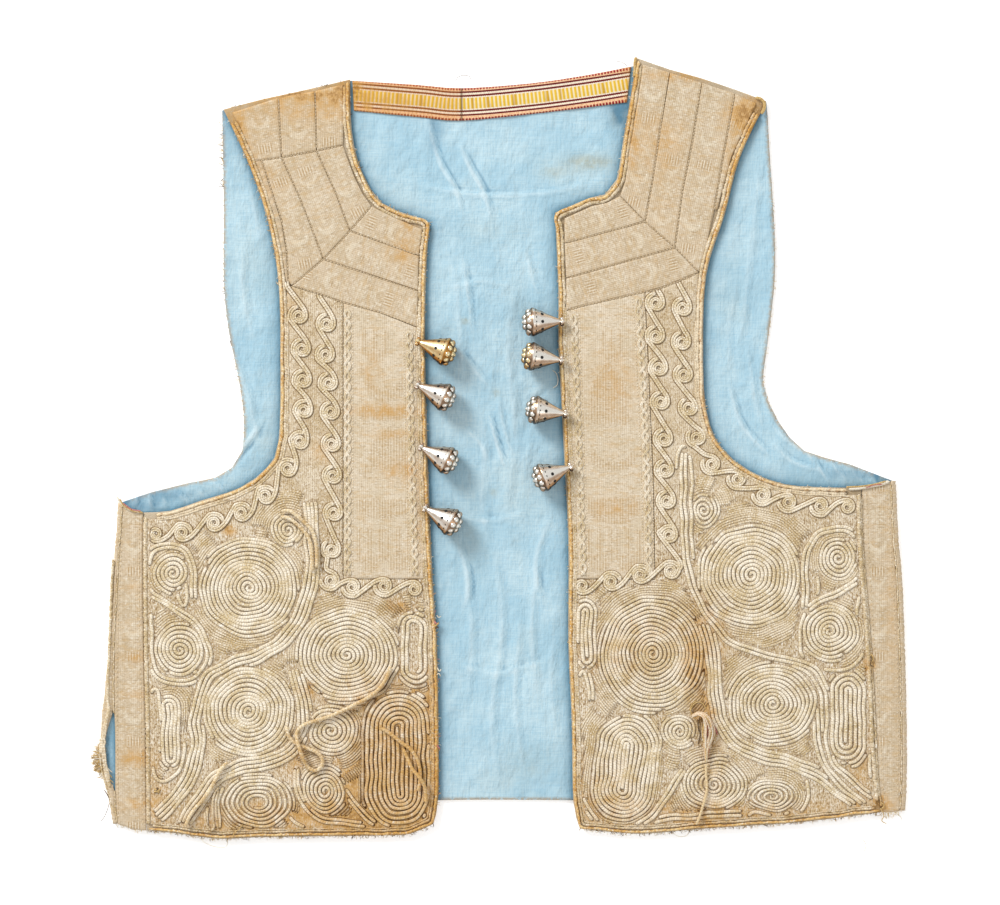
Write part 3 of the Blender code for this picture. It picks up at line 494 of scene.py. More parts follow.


# ---------------------------------------------------------------- marks of age and painted shade

STAINS = rows_of(Stain, (
    (-66, -190, 30, 36, 1), (-50, -205, 12, 26, 0.8), (-90, -226, 34, 8, 0.7), (-160, -226, 30, 8, 0.5),
    (-125, -185, 10, 10, 0.45), (-119, -145, 6, 5, 0.6), (-165, -49.5, 5, 3.5, 0.9),
    (-65, -95.7, 9, 5, 0.7), (-72, 22, 24, 5, 0.6), (-66, 8, 20, 4, 0.4), (-62, -14, 15, 7, 0.5),
    (-80, 45, 8, 14, 0.35), (-50, -40, 6, 40, 0.35), (-44, -150, 5, 40, 0.4), (-152, 160, 20, 16, 0.35),
    (-60, 118, 12, 10, 0.55), (-57, 134, 8, 5, 0.5), (-128, 84, 8, 14, 0.3), (-208, -208, 9, 26, 0.35),
    (114, -135, 7, 20, 0.85), (120, -160, 7, 9, 0.8), (124, -190, 10, 22, 0.5), (118, -225, 16, 5, 0.6),
    (65, 40, 18, 22, 0.35), (66, -36, 18, 8, 0.35), (95, 148, 14, 40, 0.18), (146, 200, 14, 9, 0.9),
    (148, 190, 8, 20, 0.6), (136, 168, 6, 20, 0.5), (94, 185, 16, 18, 0.35), (219, -130, 4, 6, 1),
    (226, -214, 5, 5, 1), (213, -190, 8, 26, 0.45), (232, -100, 4, 60, 0.3), (-222, -126, 12, 4, 0.45),
    (-222, -148, 12, 3, 0.42), (-222, -186, 11, 7, 0.6), (-222, -214, 10, 4, 0.45), (-223, -84, 9, 3, 0.35),
    (-75, -150, 40, 22, 0.38), (-85, -205, 60, 22, 0.35), (72, -124, 32, 26, 0.42),
    (110, -105, 34, 26, 0.3), (60, -205, 26, 30, 0.42), (135, -218, 100, 9, 0.5), (-120, -218, 80, 9, 0.38),
    (-100, 205, 60, 12, 0.5), (-163, 190, 7, 14, 0.9), (-157, 165, 6, 16, 0.9), (-150, 140, 5, 14, 0.8),
    (-142, 116, 5, 12, 0.5), (120, 94, 4, 5, 0.8), (121, 28, 4, 5, 0.8), (122, -118, 12, 26, 0.3),
    (76, 200, 5, 40, 0.6), (-94, 216, 9, 8, 0.8), (-130, 212, 44, 4, 0.6), (120, 223, 40, 4, 0.7),
    (-110, -2, 8, 8, 0.5),
))
BLEACHED = rows_of(Stain, (
    (121, 58, 14, 36, 1), (-190, -38, 34, 9, 0.8), (190, -24, 30, 9, 0.7), (-120, 80, 20, 60, 0.3),
))
# Broad patches of painted shade on the ribbons: the tops of the straps and part of the right chest.
SHADED = rows_of(Stain, (
    (-130, 200, 50, 24, 0.9), (-150, 150, 16, 40, 0.5), (150, 192, 14, 34, 0.8), (70, 120, 30, 12, 0.3),
))
# Patches of painted shade on the lining: in the armhole pockets and along their edges, in the open left side,
# by the neck and along the left edge.
LINING_SHADES = rows_of(Stain, (
    (-229, -30, 7, 6, 1), (-215, -36, 10, 3.5, 0.6), (-238.6, -184, 2.2, 18, 0.8), (223.5, -19, 1.6, 4, 1),
    (229, -20, 3, 3, 0.8), (-168, 190, 6, 26, 0.35), (-42, 192, 5, 14, 0.5), (66, 208, 6, 14, 0.7),
    (71, 203, 4, 7, 0.9), (-205, -29, 24, 5, 0.6), (210, -17, 22, 5, 0.5), (-166, 60, 4, 70, 0.2),
    (70, 180, 4, 22, 0.45),
))
LINING_STAINS = rows_of(Stain, (
    (51, 171, 16, 5, 0.8), (30, 165, 8, 4, 0.4), (68, 200, 4, 6, 0.9), (-24, 76, 2.2, 1.6, 0.9),
    (-5, 33, 2.2, 2, 0.6), (-7, -27, 1.8, 1.8, 0.7), (-20, -60, 10, 22, 0.18), (14, -190, 16, 12, 0.25),
    (-10, 130, 20, 8, 0.15), (-226, -30, 3, 2, 1), (225, -18, 3, 2, 1), (230, -20, 2, 2, 1),
))
STAIN_DRIFT = Drift(3, 9.0)
STAIN_UNEVEN = 0.25


def stain_at(points, stains=STAINS):
    """How strongly each point is stained, from 0 to 1, with an uneven border."""
    amount = np.zeros(len(points))
    for stain in stains:
        across = (points[:, 0] - stain.x) / stain.wide
        up = (points[:, 1] - stain.y) / stain.high
        amount += stain.strength * np.exp(-(across ** 2 + up ** 2))
    return np.clip(amount * (1 + STAIN_UNEVEN * STAIN_DRIFT.at(points)), 0, 1)


# ---------------------------------------------------------------- node graphs


def colour(red, green, blue):
    """A colour given in display values from 0 to 255."""
    shares = [value / 255 for value in (red, green, blue)]
    linear = [share / 12.92 if share <= 0.04045 else ((share + 0.055) / 1.055) ** 2.4 for share in shares]
    return (*linear, 1.0)


MIX_FIRST = 6
MIX_SECOND = 7
MIX_RESULT = 2


class Graph:
    """Builds the node graph of one material. Lengths in it are millimetres on the object."""

    def __init__(self, name, base):
        self.base = base
        self.material = bpy.data.materials.new(name)
        self.material.use_nodes = True
        self.tree = self.material.node_tree
        self.shader = self.tree.nodes["Principled BSDF"]

    def node(self, kind, **settings):
        made = self.tree.nodes.new("ShaderNode" + kind)
        for name, value in settings.items():
            setattr(made, name, value)
        return made

    def feed(self, socket, value):
        if isinstance(value, bpy.types.NodeSocket):
            self.tree.links.new(value, socket)
        else:
            socket.default_value = value

    def math(self, operation, *values):
        made = self.node("Math", operation=operation)
        for socket, value in zip(made.inputs, values):
            self.feed(socket, value)
        return made.outputs[0]

    def times(self, *values):
        return reduce(lambda made, value: self.math("MULTIPLY", made, value), values)

    def plus(self, first, second):
        return self.math("ADD", first, second)

    def mix(self, share, first, second):
        made = self.node("Mix", data_type="RGBA")
        self.feed(made.inputs[0], share)
        self.feed(made.inputs[MIX_FIRST], first)
        self.feed(made.inputs[MIX_SECOND], second)
        return made.outputs[MIX_RESULT]

    def step(self, value, low, high, bottom=0.0, top=1.0):
        """A soft step from bottom to top as the value goes from low to high."""
        made = self.node("MapRange", interpolation_type="SMOOTHSTEP")
        for socket, entry in zip(made.inputs, (value, low, high, bottom, top)):
            self.feed(socket, entry)
        return made.outputs[0]

    def paint(self, shade, share, *limits):
        """Lays a colour over the base, as strongly as share says, or as its soft step between limits does."""
        self.base = self.mix(self.step(share, *limits) if limits else share, self.base, shade)

    def place(self):
        """Where the point is on the object, in millimetres."""
        source = self.node("TexCoord").outputs["Object"]
        made = self.node("VectorMath", operation="SCALE")
        self.feed(made.inputs[0], source)
        made.inputs["Scale"].default_value = 1 / MM
        return made.outputs[0]

    def split(self, vector):
        made = self.node("SeparateXYZ")
        self.feed(made.inputs[0], vector)
        return made.outputs[:3]

    def cloth(self):
        """Where the point is across and along its cloth, in millimetres."""
        source = self.node("UVMap", uv_map="cloth").outputs[0]
        across, along, _ = self.split(source)
        return self.times(across, 1 / MM), self.times(along, 1 / MM)

    def joined(self, across, along, up=0.0):
        made = self.node("CombineXYZ")
        for socket, value in zip(made.inputs, (across, along, up)):
            self.feed(socket, value)
        return made.outputs[0]

    def noise(self, vector, size, detail=2.0, roughness=0.5, stretch=None):
        if stretch is not None:
            scaled = self.node("VectorMath", operation="MULTIPLY")
            self.feed(scaled.inputs[0], vector)
            scaled.inputs[1].default_value = stretch
            vector = scaled.outputs[0]
        made = self.node("TexNoise")
        self.feed(made.inputs["Vector"], vector)
        made.inputs["Scale"].default_value = 1 / size
        made.inputs["Detail"].default_value = detail
        made.inputs["Roughness"].default_value = roughness
        return made.outputs[0]

    def ribs(self, coordinate, pitch, shift=0.0):
        """Rounded ribs across a coordinate, from 0 in the grooves to 1 on top."""
        turned = self.plus(self.times(coordinate, 2 * math.pi / pitch), shift)
        return self.plus(self.times(self.math("SINE", turned), 0.5), 0.5)

    def mark(self, label):
        return self.node("Attribute", attribute_name=label).outputs["Fac"]

    def bump(self, height, depth, below=None):
        made = self.node("Bump")
        made.inputs["Strength"].default_value = 1.0
        made.inputs["Distance"].default_value = depth * MM
        self.feed(made.inputs["Height"], height)
        if below is not None:
            self.feed(made.inputs["Normal"], below)
        return made.outputs[0]

    def finish(self, roughness, normal=None, metallic=0.0, sheen=0.0, gloss=0.5):
        self.feed(self.shader.inputs["Base Color"], self.base)
        self.feed(self.shader.inputs["Roughness"], roughness)
        self.feed(self.shader.inputs["Metallic"], metallic)
        self.shader.inputs["Sheen Weight"].default_value = sheen
        self.shader.inputs["Specular IOR Level"].default_value = gloss
        if normal is not None:
            self.feed(self.shader.inputs["Normal"], normal)
        return self.material


def weave_height(graph, across, along, pitch):
    """Threads that pass over and under each other."""
    over = graph.times(graph.ribs(across, 2 * pitch), graph.ribs(along, pitch))
    under = graph.times(graph.ribs(across, 2 * pitch, math.pi), graph.ribs(along, pitch, math.pi))
    return graph.math("MAXIMUM", over, under)


# ---------------------------------------------------------------- materials

# A noise takes its size in millimetres, its detail and its roughness. A soft step takes its two limits
# and, where they aren't 0 and 1, its values there; paint takes the same after its colour and its source.

RIBBON_PALE = colour(217, 198, 170)
RIBBON_MIDDLE = colour(199, 178, 144)
RIBBON_DARK = colour(150, 124, 88)
# Painted glints on metal thread.
GLINT = colour(255, 251, 242)
CORD_PALE = colour(247, 235, 213)
CORD_MIDDLE = colour(216, 195, 154)
# Also the painted shade in the hollows of the couched and loose cords.
CORD_DIRT_AND_SHADE = colour(98, 62, 14)
FINE_PALE = colour(234, 218, 190)
FINE_MIDDLE = colour(204, 180, 136)
# Also the painted shade in the hollows of the fine cords.
FINE_DIRT_AND_SHADE = colour(116, 78, 24)
LOOSE_PALE = colour(240, 222, 186)
LOOSE_MIDDLE = colour(208, 176, 124)
STAIN_BROWN = colour(204, 154, 76)
STAIN_DARK = colour(142, 96, 38)
GROUND_PALE = colour(228, 212, 184)
GROUND_MIDDLE = colour(206, 184, 146)
GROUND_DARK = colour(126, 88, 34)
OCHRE = colour(216, 170, 98)
OCHRE_DARK = colour(164, 106, 40)
OCHRE_PALE = colour(236, 208, 152)
BLUE = colour(176, 208, 221)
BLUE_DEEP = colour(136, 184, 208)
BLUE_PALE = colour(200, 224, 231)
# Painted shade on the lining.
SHADE_BLUE = colour(56, 118, 150)
DUST = colour(168, 160, 124)


def specks(graph, vector, size, dark, amount, stretch=None):
    """The dark specks of the metal thread's wear, and painted glints on it."""
    grains = graph.noise(vector, size, 2, 0.65, stretch)
    graph.paint(dark, grains, 0.46, 0.32, 0.0, amount)
    graph.paint(GLINT, grains, 0.55, 0.70, 0.0, amount)


def lining_material():
    graph = Graph("blue_cotton", BLUE)
    place = graph.place()
    across, along, _ = graph.split(place)
    slubs_along = graph.noise(place, 0.5, 3, 0.6, (1.0, 0.04, 1.0))
    slubs_across = graph.noise(place, 0.5, 3, 0.6, (0.04, 1.0, 1.0))
    threads = graph.times(graph.plus(slubs_along, slubs_across), 0.5)
    cloud = graph.noise(place, 38, 3, 0.55)
    graph.paint(BLUE_PALE, cloud, 0.35, 0.65)
    graph.paint(BLUE_DEEP, threads, 0.42, 0.62, 0.0, 0.45)
    weave = weave_height(graph, across, along, 0.42)
    graph.paint(BLUE_DEEP, weave, 0.05, 0.6, 0.3, 0.0)
    rim = graph.times(graph.mark("rim"), graph.step(graph.noise(place, 1.6, 3, 0.7), 0.32, 0.52))
    graph.paint(colour(180, 160, 132), graph.times(rim, 0.85))
    grit = graph.noise(place, 3.0, 4, 0.65)
    dirt = graph.times(graph.mark("lining_stain"), graph.step(grit, 0.3, 0.6, 0.5, 1.0))
    graph.paint(DUST, graph.times(dirt, 0.75))
    graph.paint(DUST, graph.noise(place, 60, 2, 0.5), 0.52, 0.72, 0.0, 0.10)
    # Painted light on the folds: a painted highlight on each ridge and painted shade in the trough beside it.
    crease = graph.mark("crease")
    graph.paint(colour(222, 238, 242), crease, 0.1, 0.9, 0.0, 0.5)
    graph.paint(SHADE_BLUE, crease, -0.1, -0.7, 0.0, 0.6)
    # Painted shadow: deeper blue near the edges of the fronts and side bands, and in the shade patches.
    graph.paint(SHADE_BLUE, graph.times(graph.mark("shelter"), 0.85))
    wrinkles = graph.noise(place, 9, 3, 0.6, (1.0, 0.55, 1.0))
    height = graph.plus(graph.times(weave, 0.3), threads)
    normal = graph.bump(height, 0.12, graph.bump(wrinkles, 2.2))
    return graph.finish(0.86, normal, sheen=0.15)


def aged(graph, place, amount=1.0):
    """The brown stains that the garment has everywhere."""
    grit = graph.noise(place, 2.2, 5, 0.7)
    stain = graph.times(graph.mark("stain"), graph.step(grit, 0.28, 0.62, 0.35, 1.0), amount)
    graph.paint(STAIN_BROWN, graph.times(graph.step(stain, 0.0, 0.7), 0.75))
    graph.paint(STAIN_DARK, graph.times(graph.step(stain, 0.6, 1.0), 0.6))


def ribbon_material(name, pale, middle, warmth):
    """Woven metallic ribbon: fine warp lines, paler figures and hatched groups, dark specks and painted
    glints.
    """
    graph = Graph(name, middle)
    place = graph.place()
    across, along = graph.cloth()
    cloth = graph.joined(across, along)
    warp = graph.ribs(across, 1.15)
    picks = graph.noise(cloth, 0.9, 2, 0.6, (0.2, 1.0, 1.0))
    streaks = graph.noise(cloth, 2.6, 3, 0.65, (0.3, 1.0, 1.0))
    cloud = graph.noise(place, 11, 4, 0.65)
    hatch = graph.mark("hatch")
    graph.paint(pale, cloud, 0.3, 0.7, 0.2, 0.9)
    graph.paint(colour(208, 172, 116), streaks, 0.46, 0.68, 0.0, warmth)
    graph.paint(colour(240, 229, 206), graph.times(graph.mark("figure"), 0.45))
    # Painted shade from the shade mark: the SHADED patches, and the troughs of the narrow ribbon's puckers;
    # on the plastrons the same mark holds their woven brown figures.
    patch = graph.times(graph.mark("shade"), graph.step(streaks, 0.32, 0.62, 0.4, 1.0))
    graph.paint(colour(196, 166, 120), graph.times(patch, 0.34))
    graph.paint(RIBBON_DARK, graph.times(graph.step(warp, 0.55, 0.05), 0.2))
    bars = graph.ribs(across, 1.7)
    graph.paint(colour(176, 142, 94), graph.times(hatch, graph.step(bars, 0.6, 0.15), 0.6))
    graph.paint(colour(240, 228, 204), graph.times(hatch, graph.step(bars, 0.6, 0.9), 0.5))
    graph.paint(RIBBON_DARK, picks, 0.47, 0.32, 0.0, 0.3)
    specks(graph, cloth, 0.9, RIBBON_DARK, 0.4, (0.5, 1.0, 1.0))
    aged(graph, place)
    height = graph.plus(graph.times(warp, 0.6), picks)
    metallic = graph.step(picks, 0.5, 0.75, 0.05, 0.3)
    return graph.finish(graph.step(cloud, 0.3, 0.7, 0.55, 0.68), graph.bump(height, 0.14), metallic)


def back_material():
    """The plain outer cloth of the back and the fronts' base."""
    graph = Graph("base_cloth", RIBBON_MIDDLE)
    place = graph.place()
    across, along, _ = graph.split(place)
    weave = weave_height(graph, across, along, 0.5)
    fine = graph.noise(place, 0.7, 3, 0.6)
    cloud = graph.noise(place, 22, 3, 0.6)
    graph.paint(GROUND_PALE, cloud, 0.35, 0.65)
    graph.paint(GROUND_DARK, weave, 0.0, 0.6, 0.55, 0.0)
    graph.paint(RIBBON_DARK, fine, 0.5, 0.3, 0.0, 0.4)
    aged(graph, place)
    return graph.finish(0.8, graph.bump(graph.plus(weave, fine), 0.2), sheen=0.1)


def field_material():
    """Ground of the corded fields: crinkled metal thread over upright warp lines."""
    graph = Graph("field_ground", GROUND_MIDDLE)
    place = graph.place()
    across, _, _ = graph.split(place)
    warp = graph.ribs(across, 1.25)
    crinkle = graph.noise(place, 0.9, 2, 0.65, (1.0, 0.5, 1.0))
    cloud = graph.noise(place, 12, 4, 0.6)
    graph.paint(GROUND_PALE, cloud, 0.35, 0.7)
    graph.paint(GROUND_DARK, warp, 0.5, 0.05, 0.0, 0.3)
    wild = graph.plus(1.0, graph.times(graph.mark("calm"), -0.55))
    graph.paint(GROUND_DARK, graph.times(graph.step(crinkle, 0.48, 0.36, 0.0, 0.75), wild))
    # Painted glints on the crinkled metal thread.
    graph.paint(GLINT, graph.times(graph.step(crinkle, 0.54, 0.68, 0.0, 0.7), wild))
    specks(graph, place, 0.7, CORD_DIRT_AND_SHADE, 0.5)
    aged(graph, place)
    height = graph.plus(crinkle, graph.times(warp, 0.4))
    metallic = graph.step(crinkle, 0.55, 0.75, 0.0, 0.25)
    return graph.finish(0.66, graph.bump(height, 0.2), metallic, gloss=0.2)


def cord_material(name, pale, middle, dirt, low, high, twist=1.5, grime=0.0):
    """Twisted cord: painted shade in its hollows between the heights low and high, browner and darker in
    stains; dirt is also the colour of its dark specks and grime smears.
    """
    graph = Graph(name, middle)
    place = graph.place()
    across, along = graph.cloth()
    _, _, up = graph.split(place)
    lay = graph.ribs(graph.plus(along, graph.times(across, 0.9)), twist)
    fibres = graph.noise(place, 0.9, 2, 0.65)
    cloud = graph.noise(place, 9, 4, 0.6)
    graph.paint(pale, cloud, 0.36, 0.64)
    graph.paint(middle, lay, 0.5, 0.0, 0.0, 0.4)
    graph.paint(dirt, fibres, 0.47, 0.33, 0.0, 0.4)
    # Painted glints on the fibres.
    graph.paint(GLINT, fibres, 0.54, 0.68, 0.0, 0.75)
    graph.paint(FINE_PALE, graph.mark("bleached"))
    aged(graph, place, 0.68)
    smears = graph.noise(place, 2.8, 4, 0.7)
    graph.paint(dirt, smears, 0.50, 0.64, 0.0, grime)
    # Painted shade in the hollows: darker where the cord is stained, patchy with the smears.
    stain = graph.mark("stain")
    hollow_shade_colour = graph.mix(graph.times(stain, 0.8), dirt, colour(84, 46, 8))
    hollow_shade_share = graph.times(graph.plus(graph.times(stain, 0.4), 0.7), graph.step(smears, 0.35, 0.6, 1.1, 0.75))
    level = graph.plus(up, graph.times(stain, -0.14))
    graph.paint(hollow_shade_colour, graph.times(graph.step(level, high, low), hollow_shade_share))
    height = graph.plus(lay, graph.times(fibres, 0.6))
    return graph.finish(0.66, graph.bump(height, 0.14), 0.05, sheen=0.05, gloss=0.12)


def thread_material(name, pale, dark):
    graph = Graph(name, dark)
    place = graph.place()
    fibres = graph.noise(place, 0.6, 3, 0.7)
    graph.paint(pale, fibres, 0.35, 0.65)
    return graph.finish(0.75, graph.bump(fibres, 0.1))


def metal_material(name, pale, warm, dark, roughness):
    """Polished metal with painted light: pale on the faces turned up, a warm colour round its flanks, and
    painted shade on the faces turned away and in its hollows.
    """
    graph = Graph(name, warm)
    place = graph.place()
    cloud = graph.noise(place, 3.0, 3, 0.6)
    # Painted highlight where the mark is high, painted shade where it is low, broken up by a cloud.
    rubbed = graph.plus(graph.mark("rubbed"), graph.times(graph.plus(cloud, -0.5), 0.25))
    graph.paint(pale, rubbed, 0.62, 0.97)
    graph.paint(dark, rubbed, 0.45, 0.05, 0.0, 0.92)
    rough = graph.plus(graph.times(cloud, 0.1), roughness)
    return graph.finish(rough, graph.bump(cloud, 0.05), 0.85)


# Where the stripes of the neck ribbon begin and end, out from its middle.
STRIPE_MIDDLE = 0.4
YELLOW_END = 3.2
RED_LINES = ((3.9, 5.25), (6.2, 7.55))
SALMON_START = 7.3
RIM_START = 8.3
STRIPE_SOFTNESS = 0.2


def neck_material():
    """Striped ribbon: red edge, salmon, dark double lines, white, and a ribbed yellow middle."""
    graph = Graph("striped_ribbon", colour(236, 220, 178))
    across, along = graph.cloth()
    cloth = graph.joined(across, along)
    place = graph.place()
    out = graph.math("ABSOLUTE", graph.plus(across, -STRIPE_MIDDLE))
    fine = graph.noise(cloth, 0.8, 2, 0.65)
    ribs = graph.ribs(along, 2.4)
    slow = graph.noise(cloth, 5, 2, 0.5, (0.1, 1.0, 1.0))
    zigzag = graph.times(graph.math("SINE", graph.times(along, 2 * math.pi / 1.3)), 0.16)
    edge = graph.plus(out, zigzag)
    graph.paint(colour(226, 184, 58), ribs, 0.3, 0.55)
    graph.paint(colour(190, 140, 36), slow, 0.46, 0.34, 0.0, 0.6)
    salmon = graph.mix(graph.step(fine, 0.3, 0.7), colour(228, 170, 122), colour(244, 208, 170))
    graph.paint(colour(242, 226, 202), out, YELLOW_END, YELLOW_END + STRIPE_SOFTNESS)
    for start, end in RED_LINES:
        begun = graph.step(edge, start, start + STRIPE_SOFTNESS)
        graph.paint(colour(104, 6, 20), graph.times(begun, graph.step(edge, end, end - STRIPE_SOFTNESS)))
    graph.paint(salmon, out, SALMON_START, SALMON_START + STRIPE_SOFTNESS)
    dashes = graph.step(graph.ribs(along, 1.9), 0.1, 0.5)
    rim = graph.step(graph.plus(graph.math("ABSOLUTE", across), zigzag), RIM_START, RIM_START + 0.3)
    graph.paint(colour(150, 20, 38), graph.times(rim, dashes))
    graph.paint(colour(198, 130, 48), graph.times(graph.mark("toned"), 0.26))
    graph.paint(colour(150, 96, 50), fine, 0.46, 0.3, 0.0, 0.3)
    aged(graph, place)
    graph.paint(colour(92, 56, 34), graph.times(graph.mark("seam"), 0.8))
    height = graph.plus(ribs, graph.times(fine, 0.7))
    return graph.finish(0.7, graph.bump(height, 0.16), gloss=0.12)


# Near black, for the shade inside the buttons' holes and slots.
def hole_shade_material():
    graph = Graph("dark_hole", colour(10, 8, 8))
    place = graph.place()
    grain = graph.noise(place, 0.4, 2, 0.5)
    graph.paint(colour(34, 28, 24), grain)
    return graph.finish(0.7)


FLOOR_GLOW = 0.35


def floor_material():
    graph = Graph("floor", colour(250, 250, 250))
    place = graph.place()
    grain = graph.noise(place, 40, 2, 0.5)
    graph.paint(colour(254, 254, 254), grain)
    graph.shader.inputs["Emission Color"].default_value = (1.0, 1.0, 1.0, 1.0)
    graph.shader.inputs["Emission Strength"].default_value = FLOOR_GLOW
    return graph.finish(0.9)


BLUE_COTTON = lining_material()
METAL_RIBBON = ribbon_material("metal_ribbon", RIBBON_PALE, RIBBON_MIDDLE, 0.45)
PLASTRON_RIBBON = ribbon_material("plastron_ribbon", colour(229, 214, 190), colour(212, 194, 163), 0.45)
BASE_CLOTH = back_material()
FIELD_GROUND = field_material()
# The two heights after the colours say where each cord's hollows take painted shade.
COUCHED_CORD = cord_material("couched_cord", CORD_PALE, CORD_MIDDLE, CORD_DIRT_AND_SHADE, 5.55, 5.9)
FINE_CORD = cord_material("fine_cord", FINE_PALE, FINE_MIDDLE, FINE_DIRT_AND_SHADE, 5.2, 5.56)
BRAID_THREAD = cord_material("braid_thread", CORD_PALE, CORD_MIDDLE, colour(160, 124, 70), 5.2, 5.45, 0.9)
EDGE_OCHRE = cord_material("edge_cord", OCHRE_PALE, OCHRE, OCHRE_DARK, 4.2, 4.9, 2.4, 0.6)
EDGE_PALE = cord_material("edge_strand", FINE_PALE, FINE_MIDDLE, RIBBON_DARK, 4.1, 4.8, 1.6, 0.6)
ROLLED_CORD = cord_material("rolled_cord", FINE_PALE, FINE_MIDDLE, RIBBON_DARK, 3.2, 4.0, 1.6, 0.5)
LOOSE_CREAM = cord_material("loose_cord", LOOSE_PALE, LOOSE_MIDDLE, CORD_DIRT_AND_SHADE, 6.8, 7.3, 2.0)
CREAM_FIBRE = thread_material("cream_fibre", colour(246, 230, 204), colour(206, 164, 116))
PALE_THREAD = thread_material("pale_thread", colour(240, 222, 182), colour(196, 158, 104))
ROSE_FIBRE = thread_material("rose_fibre", colour(214, 150, 140), colour(168, 84, 80))
OCHRE_FIBRE = thread_material("ochre_fibre", colour(226, 196, 134), colour(166, 128, 66))
SEAM_THREAD = thread_material("seam_thread", colour(232, 214, 182), colour(190, 164, 124))
# Dark strands laid beside the scroll cords as their painted shadow.
SHADOW_LINE_THREAD = thread_material("outline_thread", colour(160, 128, 80), colour(104, 74, 36))
DARK_THREAD = thread_material("dark_thread", colour(122, 96, 66), colour(66, 46, 28))
WHITE_THREAD = thread_material("white_thread", colour(250, 244, 230), colour(214, 198, 168))
STRIPED_RIBBON = neck_material()
SILVER = metal_material("silver", colour(255, 250, 240), colour(190, 156, 126), colour(54, 38, 26), 0.2)
GILT = metal_material("gilt", colour(255, 234, 184), colour(196, 138, 66), colour(70, 40, 14), 0.2)
HOLE_SHADE = hole_shade_material()


# ---------------------------------------------------------------- loose cords

CORD_STEP = 0.8
LOOSE_CORD = 2.4
LOOSE_THREAD = 1.6
FRAYED_BUNDLE = 3.6
CORD_SIDES = 12
CORD_PLY = 5.0
THREAD_PLY = 3.4

# How far three points of a cord rise above CORD_BED where it crosses another cord.
CROSSING = (CORD_OVER - CORD_BED - 1, CORD_OVER - CORD_BED, CORD_OVER - CORD_BED - 1)
# The way each cord takes and, where it doesn't lie flat on CORD_BED, how far above that its points are.
LOOSE_CORDS = rows_of(CordRow, (
    ("loose_cord_left_loop", LOOSE_CORD, ((-68.5, -131), (-71, -138), (-75.5, -144.5), (-81.5, -149.5),
     (-89, -153.5), (-97, -157.5), (-105, -161), (-113, -163.5), (-120, -166), (-124.5, -170),
     (-124.5, -175), (-123, -180), (-121, -186), (-118.5, -191), (-114, -193.5), (-110, -191),
     (-109.5, -186.5), (-113, -182.5), (-119, -180), (-125, -177.5), (-129.5, -173),
     (-131, -167)), (*(0,) * 10, *CROSSING, *(0,) * 9)),
    ("loose_cord_left_front", LOOSE_CORD, ((-74, -168), (-68, -172), (-62.5, -176.5), (-57, -180.5),
     (-53, -186), (-51, -193), (-51, -200), (-52, -206))),
    ("loose_cord_left_twin", LOOSE_CORD, ((-61, -180.5), (-58.5, -186), (-55.5, -192.5), (-51.5, -197),
     (-48.5, -202), (-47.5, -208), (-47.5, -213)), (0, 0, *CROSSING, 0, 0)),
    ("loose_cord_left_hem", LOOSE_CORD, ((-166.5, -188.5), (-171, -194), (-174, -200), (-177, -205.5),
     (-181, -211), (-185.5, -216), (-189, -221), (-191.5, -227))),
    ("loose_cord_left_upper", LOOSE_CORD, ((-134, -38), (-129, -38), (-124, -41.5), (-119.5, -45.5),
     (-115.5, -50), (-113.5, -56), (-112.8, -63), (-112.8, -72))),
    ("loose_cord_left_lower", LOOSE_CORD, ((-134.5, -41.5), (-130, -42.2), (-125.5, -45.2), (-121.5, -49),
     (-118, -53.5), (-116.2, -59), (-115.6, -66), (-115.6, -74))),
    ("frayed_bundle_right", FRAYED_BUNDLE, ((112, -161), (116, -159.5), (120, -161.5), (122, -167),
     (122, -174), (121, -181), (120.5, -189)), (0.6, 1.2, 1.8, 1.2, 0.6, 0.6, 0.6)),
    ("loose_thread_right", LOOSE_THREAD, ((120.5, -189.4), (120.5, -196), (121, -202), (120.5, -208),
     (118.5, -215), (116.5, -221.5), (114.5, -226)), (0, *(-0.4,) * 6)),
))


BUNDLE_FIBRES = 16
FIBRE_RADIUS = 0.42
FIBRE_SECTION = round_section(FIBRE_RADIUS, 6)
FIBRE_TAPER = 1.0
BUNDLE_SLOTS = (0, 1, 0, 2, 0, 1, 0, 3, 0, 1, 0, 2, 0, 1, 0, 0)


def bundle_parts(route):
    """Fibres of a frayed cord: close together at its bend, then spread out and loose."""
    chance = np.random.default_rng(71)
    share = np.linspace(0, 1, len(route))
    side = normals(route)
    parts = []
    for index in range(BUNDLE_FIBRES):
        angle = chance.uniform(0, 2 * math.pi) + chance.uniform(-2.5, 2.5) * share
        reach = chance.uniform(0.3, 1.1) * (0.5 + 2.6 * np.sin(math.pi * share) ** 2)
        waver = 0.5 * np.sin(math.pi * share) * np.sin(chance.uniform(8, 16) * share + chance.uniform(0, 6))
        strand = route.copy()
        strand[:, :2] += side * (reach * np.cos(angle) + waver)[:, None]
        strand[:, 2] += np.clip(0.5 * reach * np.sin(angle), -1.0, 1.2)
        shorter = int(len(route) * chance.uniform(0.72, 1.0))
        strand = strand if index % 2 else strand[:shorter]
        parts.append(swept(strand, FIBRE_SECTION, BUNDLE_SLOTS[index], FIBRE_TAPER))
    return parts


def cord_look(name, route, diameter):
    """The parts and materials of a loose cord."""
    if name == "frayed_bundle_right":
        return bundle_parts(route), [CREAM_FIBRE, WHITE_THREAD, OCHRE_FIBRE, ROSE_FIBRE]
    ply, material = (THREAD_PLY, PALE_THREAD) if name == "loose_thread_right" else (CORD_PLY, LOOSE_CREAM)
    section = plied_section(route, diameter / 2, CORD_SIDES, ply, PLY_DEPTH)
    return [swept(route, section, taper=diameter / 2)], [material]


def make_loose_cords():
    for row in LOOSE_CORDS:
        route = smooth(at_height(row.route, CORD_BED + np.array(row.lifts)), CORD_STEP)
        parts, materials = cord_look(row.name, route, row.diameter)
        piece = mesh_piece(row.name + "_look", parts, materials, row.name)


# ---------------------------------------------------------------- the back and its lining

